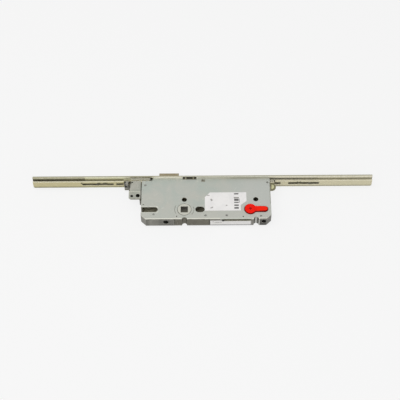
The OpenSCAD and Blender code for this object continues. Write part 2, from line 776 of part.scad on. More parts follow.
// Drive rod behind the faceplate
module rod(x0, x1, slots, pin_x, pin_z) difference() {
    slab(x0, x1, rod_back, rod_front, -rod_width / 2, rod_width / 2);
    for (ends = slots) long_hole(ends, rod_slot_r, rod_back - past, rod_front + past);
    bar(pin_x, pin_z, rod_pin_r + fixed_gap, rod_back - past, rod_front + past);
}
module upper_rod() color(gold_zinc)
    rod(-face_reach, upper_rod_end, [upper_slot, upper_short_slot], upper_pin_x, upper_pin_z);
module lower_rod() color(gold_zinc) difference() {
    rod(lower_rod_end, face_length - face_reach, [lower_slot, lower_short_slot], lower_pin_x, lower_pin_z);
    slab(lower_notch_x, lower_notch_x + lower_notch_width, rod_back - past, rod_front + past,
        lower_pin_z, rod_width / 2 + past);
}
module upper_rod_pin() color(steel) bar(upper_pin_x, upper_pin_z, rod_pin_r, tab_back, rod_front);
module lower_rod_pin() color(steel) bar(lower_pin_x, lower_pin_z, rod_pin_r, tab_back, rod_front);

module drive_gear() color(steel) translate([drive_x, drive_y, slide_low]) difference() {
    linear_extrude(slide_thick) gear_outline(drive_r, drive_teeth);
    translate([0, 0, -past]) cylinder(r = gear_post_r + run_gap, h = slide_thick + 2 * past);
}

// Wheel that the lock cylinder's cam turns, with notches for the cam
cam_wheel_r = 11.5;
cam_hub_r = 5;
cam_notch_r = 3;
module cam_wheel() color(steel) difference() {
    union() {
        post([drive_x, drive_y], cam_wheel_r, -mid, mid);
        post([drive_x, drive_y], cam_hub_r, mid, slide_low);
    }
    post([drive_x, drive_y], gear_post_r + run_gap, -half, half);
    for (turn = [-105, -60, -15, 30])
        translate([drive_x, drive_y, -half]) rotate([0, 0, turn]) translate([cam_wheel_r, 0, 0])
            cylinder(r = cam_notch_r, h = case_thick);
}

module reversing_pinion() color(steel) {
    deep = inner - pinion_end_gap;
    difference() {
        translate([pinion_x, pinion_y, -deep]) linear_extrude(2 * deep) gear_outline(pinion_r, pinion_teeth);
        post([pinion_x, pinion_y], pinion_post_r + run_gap, -half, half);
    }
}

// Plug that keeps the cylinder hole free until a cylinder is fitted
dimple_r = 1.6;
module cylinder_plug() color(red_plastic) difference() {
    cylinder_profile(0, -half + run_gap, half + plug_proud);
    post([centres, 0], dimple_r, half + plug_proud - 0.8, half + plug_proud + past);
}

faceplate();
case_tray();
cover_plate();
rear_spacer();
case_rivets();
case_screws();
front_block_upper();
front_block_mid();
front_block_lower();
guide_studs();
guide_housing();
guide_cover();
rod_keeper();
latch_spring_seat();
latch_spring();
follower_spring();
bolt_guide_post();
gear_post();
pinion_post();
face_label();
edge_label();
follower();
latch_head();
latch_tail();
latch_pin();
deadbolt();
deadbolt_pin();
lower_slide();
lower_rod();
lower_rod_pin();
upper_slide();
upper_rod();
upper_rod_pin();
drive_gear();
cam_wheel();
reversing_pinion();
cylinder_plug();
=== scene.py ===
"""Multipoint door lock, main unit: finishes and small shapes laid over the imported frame."""
import json
import math
from collections import namedtuple

import bmesh
import bpy
import numpy as np
from bpy.props import FloatProperty, FloatVectorProperty, PointerProperty
from mathutils import Matrix, Vector


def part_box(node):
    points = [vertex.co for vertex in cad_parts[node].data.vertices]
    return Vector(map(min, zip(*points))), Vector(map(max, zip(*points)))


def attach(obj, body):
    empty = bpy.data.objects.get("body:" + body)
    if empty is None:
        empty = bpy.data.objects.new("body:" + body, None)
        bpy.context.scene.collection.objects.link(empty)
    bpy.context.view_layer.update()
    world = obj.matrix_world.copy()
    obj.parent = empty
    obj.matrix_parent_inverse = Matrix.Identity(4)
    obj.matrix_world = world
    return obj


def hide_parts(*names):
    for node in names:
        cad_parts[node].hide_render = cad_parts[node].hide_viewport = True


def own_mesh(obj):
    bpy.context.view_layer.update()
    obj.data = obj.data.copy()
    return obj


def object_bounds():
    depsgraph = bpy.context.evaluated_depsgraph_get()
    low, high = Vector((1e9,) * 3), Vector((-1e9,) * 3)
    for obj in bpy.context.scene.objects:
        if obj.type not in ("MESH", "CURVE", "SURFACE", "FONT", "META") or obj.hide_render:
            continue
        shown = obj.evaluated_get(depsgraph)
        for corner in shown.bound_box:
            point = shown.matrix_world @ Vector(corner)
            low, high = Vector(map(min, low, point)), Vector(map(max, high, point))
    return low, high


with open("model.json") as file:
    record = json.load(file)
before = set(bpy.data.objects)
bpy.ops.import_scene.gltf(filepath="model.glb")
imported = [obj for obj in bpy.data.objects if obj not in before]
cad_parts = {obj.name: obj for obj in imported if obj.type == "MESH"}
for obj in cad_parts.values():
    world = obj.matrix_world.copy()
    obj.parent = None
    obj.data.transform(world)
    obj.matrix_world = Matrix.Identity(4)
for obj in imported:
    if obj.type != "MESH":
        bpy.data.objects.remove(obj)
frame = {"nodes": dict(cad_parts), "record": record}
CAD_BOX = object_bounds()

bl_info = {
    "name": "Multipoint door lock",
    "version": (1, 0, 0),
    "blender": (4, 5, 0),
    "location": "3D View > Sidebar > Door lock",
    "description": "Finishes and small shapes of a multipoint door lock's main unit",
    "category": "Object",
}

MM = 0.001
PHOTO_WIDTH = 400
MERGE_DISTANCE = 0.002 * MM
FLAT_ANGLE = math.radians(0.4)
EDGE_ANGLE = math.radians(28)
SMOOTH_ANGLE = math.radians(50)
EDGE_FACETS = 2
NORMAL_WEIGHT = 80
EDGE_STRIP = "edge_strip"

BODY_OF = {node: body for body, nodes in frame["record"]["behaviour"]["bodies"].items() for node in nodes}
SLOT_OF = {row["node"]: row["material_slot"] for row in frame["record"]["subparts"]}


def linear(red, green, blue):
    """Linear colour of a display colour given from 0 to 255."""
    shade = np.array((red, green, blue)) / 255
    low, high = shade / 12.92, ((shade + 0.055) / 1.055) ** 2.4
    return tuple(float(part) for part in np.where(shade <= 0.04045, low, high))


def colour(label, words, shade):
    """A colour that a user can change."""
    return FloatVectorProperty(name=label, description=words, default=linear(*shade), size=3,
                               subtype="COLOR", min=0, max=1)


def length(label, words, millimetres):
    """A length that a user can change."""
    return FloatProperty(name=label, description=words, default=millimetres * MM, min=0,
                         unit="LENGTH", precision=5)


def angle(label, words, degrees):
    """An angle that a user can change."""
    return FloatProperty(name=label, description=words, default=math.radians(degrees), unit="ROTATION")


def number(label, words, value):
    """A plain number that a user can change."""
    return FloatProperty(name=label, description=words, default=value)


class LockColours(bpy.types.PropertyGroup):
    """Colours of the lock's finishes, and colours of painted light and shade."""
    cover: colour("Cover", "Galvanised cover sheet", (179, 186, 178))
    cover_warm: colour("Cover, warm patches", "Paler, warmer patches of the cover sheet", (190, 190, 181))
    cover_pale: colour("Cover, lower end", "Paler lower end of the cover sheet", (191, 193, 187))
    # Painted light: a bright colour standing in for highlights on edges and for light on shaded faces
    cut_edge: colour("Painted light", "Painted highlight on edges and painted light on shaded faces", (236, 235, 222))
    # Painted shade: upright faces, walls of holes and gaps, and edges in shadow are darkened in colour
    hole_wall: colour("Wall shade", "Painted shade on walls of holes, gaps and edges", (120, 116, 98))
    # Painted shade in pressed grooves, in gaps and along edges that lie in shadow
    groove: colour("Groove", "Painted shade in pressed grooves, in gaps and along edges in shadow", (58, 56, 46))
    guide: colour("Guide", "Duller sheet of the rod guide", (164, 166, 155))
    guide_warm: colour("Guide, patches", "Paler patches of that sheet", (178, 177, 166))
    # Painted shade: the tray is coloured darker than the cover because its upright rear wall lies in shade
    tray: colour("Tray", "Galvanised tray, coloured darker as painted shade of its upright rear wall", (125, 123, 115))
    tray_warm: colour("Tray, warm patches", "Paler patches of the tray", (142, 140, 131))
    inside: colour("Inside", "Paler olive inside of the case", (176, 172, 150))
    # Painted shade: the slit's floor lies in the cover's shadow, and a painted shadow runs under the slit on
    # the rear label
    slit: colour("Slit", "Painted shade on the floor of the rear slit, and under the slit on the rear label", (96, 94, 66))
    # Darker ends of the tray; beside the rear notch this colour is painted shade of the notch's hollow
    smoke: colour("Tray, dark", "Darker ends of the tray, and painted shade beside its rear notch", (66, 65, 60))
    # Painted highlight: the bright middle and right edge of the rear notch's hollow
    notch: colour("Notch", "Painted highlight in the hollow of the rear notch", (208, 208, 202))
    face: colour("Faceplate", "Yellow passivated faceplate", (170, 166, 137))
    face_warm: colour("Faceplate, streaks", "Paler streaks of the faceplate", (184, 180, 151))
    face_pale: colour("Faceplate, pale", "Greener pale part beside the guide", (214, 213, 180))
    face_cream: colour("Faceplate, cream", "Cream tone of the faceplate and the rods' lower end, also painted as light on the faceplate's shaded back", (224, 219, 198))
    face_grey: colour("Faceplate, grey", "Grey part of the faceplate", (202, 203, 190))
    # Painted shade on the far part of the faceplate's long edge and on stretches of its back
    face_top: colour("Faceplate, long edge", "Painted shade on the far part of the faceplate's long edge and on its back", (158, 155, 132))
    # Painted shade in the notch of the faceplate's edge
    pit: colour("Edge notch", "Painted shade in the notch of the faceplate's edge", (50, 45, 30))
    # Painted shade in the crevice behind the rods, in and round the rods' slots, round their studs and at the
    # slide's tab
    grease: colour("Shade behind rods", "Painted shade behind the rods, in and round their slots and round their studs", (72, 68, 42))
    grease_thin: colour("Pale crevice shade", "Paler painted shade behind the rods, and pale spots in the shaded edge notch", (146, 142, 108))
    # Painted brown shade above the guide and at the keeper's foot
    grime: colour("Brown shade", "Painted brown shade on the faceplate above the guide and at the keeper's foot", (96, 90, 56))
    gold: colour("Rods", "Yellow passivated drive rods", (192, 185, 138))
    gold_warm: colour("Rods, streaks", "Browner streaks of the drive rods", (204, 194, 154))
    # Painted shade along the rods' lower edge and in their short slot
    gold_low: colour("Rods, lower edge", "Painted shade along the rods' lower edge and in their short slot", (118, 113, 88))
    # Painted highlight on the upward faces of the rods
    gold_top: colour("Rods, upper edge", "Painted highlight on the rods' upper edges", (234, 228, 204))
    lug: colour("Lug", "Greener gold of the slide's lug", (194, 197, 154))
    # Painted shade on the lug's plate round its crown
    lug_rim: colour("Lug, rim", "Painted shade on the lug's plate round its crown", (104, 100, 70))
    latch: colour("Latch", "Bronzed latch", (150, 138, 110))
    latch_warm: colour("Latch, streaks", "Paler streaks of the latch", (164, 152, 125))
    dark: colour("Dark steel", "Dark olive strip and blocks", (102, 98, 86))
    dark_warm: colour("Dark steel, patches", "Paler patches of the dark steel", (113, 110, 97))
    # Dark joints of the rear strip; on the guide and its housing this colour is painted shade on edges and
    # end faces
    seam: colour("Seam", "Dark joints of the rear strip, also painted as shade on edges and end faces", (70, 68, 58))
    steel: colour("Plain steel", "Pins and inner parts", (158, 157, 150))
    steel_warm: colour("Plain steel, patches", "Paler patches of plain steel", (182, 181, 174))
    hub: colour("Hub", "Turned faces of the follower", (205, 205, 193))
    # Painted shade in the follower's square hole and on its sides, and painted light towards the hole's lower
    # end
    hub_bore: colour("Hub bore", "Painted shade on the follower's sides and in its square hole, and in gaps on the rods", (62, 59, 46))
    hub_low: colour("Hub bore, lower part", "Painted light on the lower part of the square hole's walls", (112, 108, 90))
    rivet: colour("Rivet", "Upset rivet heads", (112, 112, 106))
    rivet_pale: colour("Rivet, rim", "Paler rims of the rivets", (158, 160, 154))
    stud: colour("Stud", "Dark studs behind the rods", (92, 88, 70))
    # Blackened nuts; elsewhere this colour is painted deep shade in holes, slots and gaps
    black: colour("Black oxide", "Blackened nuts, and painted deep shade in holes, slots and gaps", (30, 29, 26))
    black_warm: colour("Black oxide, patches", "Worn patches of the black oxide", (46, 44, 38))
    spring: colour("Spring wire", "Drawn spring wire", (112, 112, 110))
    spring_warm: colour("Spring wire, patches", "Paler patches of the wire", (140, 139, 135))
    rub: colour("Rubbed edge", "Bare metal where an edge is rubbed", (226, 224, 214))
    plug: colour("Plug", "Red moulded plug", (253, 30, 10))
    plug_bright: colour("Plug, stem", "Brighter red of the plug's stem", (255, 38, 6))
    plug_shade: colour("Plug, shade", "Deeper red of the plug", (236, 24, 8))
    # Painted shade on the plug's sides and in its dimple, and on its body inside the case
    plug_side: colour("Plug, sides", "Painted shade on the plug's sides and in its dimple", (150, 10, 6))
    plug_core: colour("Plug, body", "Painted shade on the plug's body inside the case", (52, 6, 4))
    paper: colour("Paper", "White label", (247, 245, 243))
    paper_shade: colour("Paper, shade", "Greyer paper", (234, 232, 231))
    paper_old: colour("Rear label", "Duller paper of the rear label", (224, 223, 216))
    ink: colour("Ink", "Dark bars on the label", (20, 18, 14))
    pale_ink: colour("Pale ink", "Faint bars on the label", (124, 121, 114))
    # Painted shade along the rear label's lower edge
    label_foot_shade: colour("Label foot", "Painted shade along the rear label's lower edge", (140, 140, 142))
    floor: colour("Floor", "Pale studio floor", (248, 248, 248))


class LockSizes(bpy.types.PropertyGroup):
    """Sizes of the lock's rounded edges and small shapes."""
    sheet_round: length("Sheet edge", "Rounding of sheet edges", 0.22)
    solid_round: length("Solid edge", "Rounding of bars and blocks", 0.35)
    fine_round: length("Fine edge", "Rounding of teeth, pins and screws", 0.1)
    rivet_spread: length("Rivet spread", "How far a rivet's head spreads over the sheet", 0.3)
    rivet_ring: length("Rivet ring", "Width of the set ring in a rivet's head", 0.45)
    rivet_dish: length("Rivet dish", "Depth of the ring in a rivet's head", 0.28)
    plug_round: length("Plug edge", "Rounding of the plug's upper edge", 0.4)
    plug_dish: length("Plug dish", "Depth of the dimple in the plug", 1.1)
    plug_dish_radius: length("Plug dish radius", "Radius of the dimple in the plug", 2.0)
    plug_gap: length("Plug gap", "Play of the plug's head in the cylinder hole", 0.4)
    plug_taper: length("Plug taper", "How far the plug draws in above the cover", 0.35)
    plug_stem: length("Plug stem", "Width of the plug's stem at the head", 9.2)
    plug_tip: length("Plug tip", "Width of the plug's stem at its end", 7.6)
    flange_drop: length("Flange drop", "Step from the guide's plate down to its flange", 1.2)
    nut_depth: length("Nut depth", "Depth of the blind nuts under the guide's flange", 2.8)
    nut_wall: length("Nut wall", "Wall of those nuts", 0.8)
    crown_rise: length("Lug crown", "How far the slide's lug swells above its plate", 1.4)
    crown_inset: length("Lug rim", "Width of the flat rim round that crown", 2.1)
    crown_start: length("Lug crown start", "Gap between the cover and that crown", 1.55)


class LockStage(bpy.types.PropertyGroup):
    """Camera and lights."""
    azimuth: angle("Azimuth", "Camera's turn about the vertical", 0.21)
    elevation: angle("Elevation", "Camera's height above the floor", 55.63)
    roll: angle("Roll", "Camera's roll", -0.52)
    distance: length("Distance", "Camera to the point it looks at", 1458)
    target_x: FloatProperty(name="Target X", description="Point looked at, along the faceplate",
                            default=21.9 * MM, unit="LENGTH")
    target_y: FloatProperty(name="Target Y", description="Point looked at, across the case",
                            default=21.1 * MM, unit="LENGTH")
    focal_pixels: number("Focal length", "Focal length in pixels of the picture's width", 1035)
    world_level: number("World", "Strength of the even light all round", 0.5)
    key_power: number("Key light", "Power of the large soft light overhead, in watts", 8.0)
    fill_power: number("Fill light", "Power of the soft light at the front, in watts", 3.0)
    floor_share: number("Floor glow", "Share of the floor's colour that no shadow dims", 0.88)
    floor_reach: length("Floor reach", "Half the floor's width", 4000)


COLOURS, SIZES, STAGE = "lock_colours", "lock_sizes", "lock_stage"


def tone(name):
    """A colour in use, with its alpha."""
    return (*getattr(getattr(bpy.context.scene, COLOURS), name), 1.0)


def sizes():
    """The sizes in use."""
    return getattr(bpy.context.scene, SIZES)


def fill(tree, node, inputs):
    """Sets each input of a node to a value, or links it from a socket."""
    for name, value in inputs.items():
        if isinstance(value, bpy.types.NodeSocket):
            tree.links.new(value, node.inputs[name])
        else:
            node.inputs[name].default_value = value
    return node


def add(tree, kind, inputs=None, **settings):
    """A new node with its settings and its inputs."""
    node = tree.nodes.new(kind)
    for name, value in settings.items():
        setattr(node, name, value)
    return fill(tree, node, inputs or {})


def math_node(tree, operation, *values):
    """Output of a Math node."""
    return add(tree, "ShaderNodeMath", dict(enumerate(values)), operation=operation).outputs[0]


def times(tree, first, second):
    """Two values multiplied."""
    return math_node(tree, "MULTIPLY", first, second)


def vector_node(tree, operation, *values):
    """Outputs of a Vector Math node."""
    return add(tree, "ShaderNodeVectorMath", dict(enumerate(values)), operation=operation).outputs


def ranged(tree, value, low, high, to_low=0.0, to_high=1.0):
    """A value carried from one range to another and held there, with a smooth step."""
    node = add(tree, "ShaderNodeMapRange", {"Value": value, "From Min": low, "From Max": high,
                                            "To Min": to_low, "To Max": to_high},
               interpolation_type="SMOOTHSTEP")
    return node.outputs["Result"]


def mixed(tree, share, first, second):
    """Two colours mixed by a share."""
    return add(tree, "ShaderNodeMix", {"Factor": share, 6: first, 7: second}, data_type="RGBA").outputs[2]


def mixed_value(tree, share, first, second):
    """Two values mixed by a share."""
    return add(tree, "ShaderNodeMix", {"Factor": share, 2: first, 3: second}, data_type="FLOAT").outputs[0]


def noise(tree, coords, scale, detail=3.0, roughness=0.55, distortion=0.0):
    """Value of a noise texture."""
    node = add(tree, "ShaderNodeTexNoise", {"Vector": coords, "Scale": scale, "Detail": detail,
                                            "Roughness": roughness, "Distortion": distortion})
    return node.outputs["Fac"]


def new_group(name, inputs, outputs):
    """A shader node group with named float or vector inputs and float outputs."""
    tree = bpy.data.node_groups.new(name, "ShaderNodeTree")
    for label, default in inputs.items():
        kind = "NodeSocketVector" if default is None else "NodeSocketFloat"
        socket = tree.interface.new_socket(label, in_out="INPUT", socket_type=kind)
        if default is not None:
            socket.default_value = default
    for label in outputs:
        tree.interface.new_socket(label, in_out="OUTPUT", socket_type="NodeSocketFloat")
    return tree, tree.nodes.new("NodeGroupInput").outputs, tree.nodes.new("NodeGroupOutput")


def mottle_group():
    """Soft patches and fine specks of a plated sheet."""
    inputs = {"Vector": None, "Patch Scale": 60.0, "Speck Scale": 1400.0}
    tree, given, leave = new_group("plating_mottle", inputs, ("Patches", "Specks"))
    patches = noise(tree, given["Vector"], given["Patch Scale"], detail=5.0, roughness=0.6, distortion=0.6)
    specks = noise(tree, given["Vector"], given["Speck Scale"], detail=2.0, roughness=0.7)
    patches, specks = ranged(tree, patches, 0.34, 0.68), ranged(tree, specks, 0.3, 0.72)
    fill(tree, leave, {"Patches": patches, "Specks": specks})
    return tree


def drawn_group():
    """Fine lines drawn out along X, as rolling or brushing leaves them, and bands six times as wide."""
    inputs = {"Vector": None, "Line Scale": 900.0, "Stretch": 0.02}
    tree, given, leave = new_group("drawn_lines", inputs, ("Lines", "Bands"))
    stretch = add(tree, "ShaderNodeCombineXYZ", {"X": given["Stretch"], "Y": 1.0, "Z": 1.0}).outputs[0]
    drawn = vector_node(tree, "MULTIPLY", given["Vector"], stretch)[0]
    lines = noise(tree, drawn, given["Line Scale"], roughness=0.65)
    bands = noise(tree, drawn, times(tree, given["Line Scale"], 0.16), detail=2.0, roughness=0.5)
    fill(tree, leave, {"Lines": ranged(tree, lines, 0.28, 0.74), "Bands": ranged(tree, bands, 0.3, 0.7)})
    return tree


def scuff_group():
    """Thin hair scratches: the borders of large swaying cells, broken up by a second noise."""
    inputs = {"Vector": None, "Cell Scale": 70.0, "Width": 0.012}
    tree, given, leave = new_group("hair_scuffs", inputs, ("Scuffs",))
    sway = add(tree, "ShaderNodeTexNoise", {"Vector": given["Vector"], "Scale": 90.0, "Detail": 2.0})
    reach = (0.012, 0.012, 0.012)
    shifted = vector_node(tree, "MULTIPLY_ADD", sway.outputs["Color"], reach, given["Vector"])[0]
    cells = add(tree, "ShaderNodeTexVoronoi", {"Vector": shifted, "Scale": given["Cell Scale"]},
                feature="DISTANCE_TO_EDGE")
    line = math_node(tree, "LESS_THAN", cells.outputs["Distance"], given["Width"])
    broken = ranged(tree, noise(tree, given["Vector"], 130.0, detail=2.0), 0.52, 0.62)
    fill(tree, leave, {"Scuffs": times(tree, line, broken)})
    return tree


def rub_group():
    """Rubbed edges: the mark of a rounded edge, worn unevenly."""
    tree, given, leave = new_group("edge_rub", {"Vector": None, "Edge": 0.0, "Amount": 0.6}, ("Rub",))
    uneven = ranged(tree, noise(tree, given["Vector"], 260.0, detail=4.0, roughness=0.65), 0.34, 0.64)
    worn = times(tree, given["Edge"], uneven)
    fill(tree, leave, {"Rub": times(tree, worn, given["Amount"])})
    return tree


def box_group():
    """1 inside a box given by its middle and half sizes, falling to 0 over a soft border."""
    inputs = {"Vector": None, "Middle": None, "Half": None, "Soft": 0.0005}
    tree, given, leave = new_group("box_mark", inputs, ("Mark",))
    away = vector_node(tree, "SUBTRACT", given["Vector"], given["Middle"])[0]
    past = vector_node(tree, "SUBTRACT", vector_node(tree, "ABSOLUTE", away)[0], given["Half"])[0]
    apart = add(tree, "ShaderNodeSeparateXYZ", {0: past}).outputs
    most = math_node(tree, "MAXIMUM", math_node(tree, "MAXIMUM", apart[0], apart[1]), apart[2])
    fill(tree, leave, {"Mark": ranged(tree, most, given["Soft"], times(tree, given["Soft"], -1.0))})
    return tree


def facing_group():
    """1 on faces that look along a direction, and on upright faces in its second output."""
    tree, given, leave = new_group("facing_mark", {"Normal": None, "Direction": None}, ("Mark", "Upright"))
    look = vector_node(tree, "DOT_PRODUCT", given["Normal"], given["Direction"])["Value"]
    rise = math_node(tree, "ABSOLUTE", add(tree, "ShaderNodeSeparateXYZ", {0: given["Normal"]}).outputs["Z"])
    fill(tree, leave, {"Mark": ranged(tree, look, 0.5, 0.8), "Upright": ranged(tree, rise, 0.75, 0.35)})
    return tree


GROUP_MAKERS = {"plating_mottle": mottle_group, "drawn_lines": drawn_group, "hair_scuffs": scuff_group,
                "edge_rub": rub_group, "box_mark": box_group, "facing_mark": facing_group}


def effect(tree, name, inputs):
    """A shared effect placed in a material, built the first time that it is asked for."""
    shared = bpy.data.node_groups.get(name) or GROUP_MAKERS[name]()
    return add(tree, "ShaderNodeGroup", inputs, node_tree=shared).outputs


def empty_tree(owner):
    """The node tree of a new material or world, emptied."""
    owner.use_nodes = True
    owner.node_tree.nodes.clear()
    return owner.node_tree


def blank_material(name):
    """A node material with its shader and its coordinates."""
    material = bpy.data.materials.new(name)
    tree = empty_tree(material)
    shader = tree.nodes.new("ShaderNodeBsdfPrincipled")
    add(tree, "ShaderNodeOutputMaterial", {"Surface": shader.outputs[0]})
    return material, tree, shader, tree.nodes.new("ShaderNodeTexCoord").outputs


def surface(tree, shader, shade, rough, height, strength, depth):
    """Gives a shader its colour, its roughness and a relief, whose depth is in millimetres."""
    bump = add(tree, "ShaderNodeBump", {"Height": height, "Strength": strength, "Distance": depth * MM})
    fill(tree, shader, {"Base Color": shade, "Roughness": rough, "Normal": bump.outputs[0]})


FAR = 400
ABOVE, BELOW, BEHIND = (0, 0, 1), (0, 0, -1), (0, -1, 0)
LEFTWARDS, RIGHTWARDS = (-1, 0, 0), (1, 0, 0)

# A mark tints part of a finish, and many marks paint shade or light on it: its colour, its strength from 0 to
# 1, its box and the box's soft border in millimetres, where its faces look, whether it keeps to upright
# faces, and a factor on the finish's metallic value there: less than 1 is duller, more than 1 is darker in
# black.
Mark = namedtuple("Mark", "shade strength box soft facing upright metal",
                  defaults=(1.0, None, 0.4, None, False, 1.0))


def span(x=(-FAR, FAR), y=(-FAR, FAR), z=(-FAR, FAR)):
    """Box of a mark in millimetres, open on the sides that aren't given."""
    return tuple(zip(x, y, z))


def marked(tree, coords, mark):
    """Share of a mark: inside its box, on faces that look its way, on upright faces, or all of these."""
    share = mark.strength
    if mark.box:
        low, high = np.array(mark.box) * MM
        box = effect(tree, "box_mark", {"Vector": coords["Object"], "Middle": tuple((low + high) / 2),
                                        "Half": tuple((high - low) / 2), "Soft": mark.soft * MM})
        share = times(tree, box["Mark"], share)
    if mark.facing or mark.upright:
        look = effect(tree, "facing_mark", {"Normal": coords["Normal"], "Direction": mark.facing or ABOVE})
        share = times(tree, look["Mark" if mark.facing else "Upright"], share)
    return share


# Cover: painted highlight along its rear edge and painted light round the end slot; painted shade on its
# upright faces, its rear rim, its side edges, round its stud hole and in its holes, gaps and pressed grooves
COVER_REAR, COVER_LINE = (-20, -15.5), (-20, -14.6)
COVER_MARKS = (
    Mark("hole_wall", 0.9, upright=True),
    Mark("cover_pale", 0.8, span((70, FAR)), 30.0, ABOVE),
    Mark("cover_warm", 0.6, span(y=(-20, 4)), 9.0, ABOVE),
    Mark("cut_edge", 0.9, span(y=COVER_LINE), 0.4, ABOVE),
    Mark("groove", 0.8, span((-FAR, 50), (-20, -16.05)), 0.15),
    Mark("cover", 0.6, span((50, 95), COVER_LINE), 0.4),
    Mark("hole_wall", 0.8, span((52, 93), COVER_REAR), 0.3, BEHIND),
    Mark("tray", 0.8, span((104.8, FAR), COVER_REAR), 0.3),
    Mark("hole_wall", 0.8, span((-2.8, 17.3), (50.7, 53)), 0.3),
    Mark("hole_wall", 0.5, span((-62, -59.9)), 0.2),
    Mark("hole_wall", 0.5, span((119.8, 122), (9, 46)), 0.3),
    Mark("hole_wall", 0.9, span((24.0, 29.2), (46.8, 50.8)), 0.6, ABOVE),
    Mark("cut_edge", 0.4, span((-62, -36.6), (-5.4, 5.4)), 0.8, ABOVE),
    Mark("groove", 1.0, span(z=(7, 7.86)), 0.06, ABOVE),
)

# Guide: painted shade on its upright faces, its front edge, its end towards the case and its left edge,
# painted deep shade in its holes, and a painted highlight along its step
GUIDE_LEFT_RIM = ((-77.0, (31.6, 37)), (-76.2, (37, 43)), (-75.2, (43, 49.5)))
GUIDE_MARKS = (
    Mark("hole_wall", 0.95, upright=True),
    Mark("seam", 0.9, span(y=(18, 19.8)), 0.2, BEHIND),
    Mark("hole_wall", 0.7, span(y=(18, 19.5)), 0.3),
    Mark("cut_edge", 0.9, span(y=(30.6, 32.2)), 0.4, BEHIND),
    Mark("groove", 1.0, facing=RIGHTWARDS),
    *(Mark("groove", 0.85, span((-80, right), part), 0.3) for right, part in GUIDE_LEFT_RIM),
    Mark("black", 1.0, span((-75.5, -72.7), (45.1, 47.9)), 0.1, upright=True),
    Mark("black", 1.0, span((-76.8, -62.6), (20.6, 28.2)), 0.1, upright=True, metal=2.5),
)

# Tray: paler inside, darker at its ends, painted deep shade in its holes and at the slit's left end, painted
# shade in its slit and at the sides of the rear notch, painted highlight in the notch's hollow and on its
# right edge
TRAY_SLIT = ((-16.5, -14), (3, 6.6))
TRAY_HOLES = ((-31, -20), (105.5, 116))
TRAY_CORNER = ((114.1, 121.5), (-16.2, -9))
LEFT_SLANT, RIGHT_SLANT = (-0.71, -0.71, 0), (0.71, -0.71, 0)
TRAY_MARKS = (
    Mark("smoke", 0.6, span((-70, -50), (-20, 50)), 5.0),
    Mark("smoke", 0.35, span((-36, -14), (-20, -14)), 3.0),
    Mark("smoke", 0.9, span((103.6, 130)), 0.4),
    Mark("inside", 1.0, span((-59.5, 120), (-15.1, 60), (-6.8, 7)), 0.15, metal=0.15),
    *(Mark("black", 1.0, span(x, (-16.0, -5), (-7.2, 6)), 0.1, metal=0.1) for x in TRAY_HOLES),
    Mark("tray", 1.0, span((-61, -53.6), (-16.2, -9)), 0.1, LEFT_SLANT),
    Mark("smoke", 1.0, span(*TRAY_CORNER), 0.1, RIGHT_SLANT),
    Mark("tray", 0.6, span(*TRAY_CORNER), 0.1, RIGHT_SLANT),
    Mark("smoke", 0.9, span((95.2, 104), (-16.2, -12)), 0.1),
    Mark("notch", 1.0, span((98.4, 100.7), (-16.2, -12)), 0.4),
    Mark("notch", 1.0, span((103.2, 104.5), (-20, -16)), 0.2, BEHIND),
    Mark("slit", 1.0, span((53, 93), *TRAY_SLIT), 0.05, metal=0.2),
    Mark("black", 1.0, span((51.9, 55.9), *TRAY_SLIT), 0.05, metal=0.2),
)

# Guide housing and keeper: painted shade on their end faces, along the guide's left edge and over the keeper,
# painted deep shade in the keeper's hole and its upper corner, and painted brown shade at its foot
HOUSING_MARKS = (
    Mark("seam", 0.8, facing=RIGHTWARDS),
    Mark("seam", 0.8, facing=LEFTWARDS),
    Mark("groove", 1.0, span((-79, -74)), 0.2, ABOVE),
    Mark("hole_wall", 0.45, span((-86, -79.4)), 0.3),
    Mark("black", 1.0, span((-86, -83.0), (44, 52), (2.9, 9)), 0.5, metal=2.5),
    Mark("black", 1.0, span((-85.2, -80.8), (44, 49), (-1.1, 2.4)), 0.2, metal=2.5),
    Mark("grime", 0.8, span((-86, -79), z=(-9, -5.6)), 0.5),
)

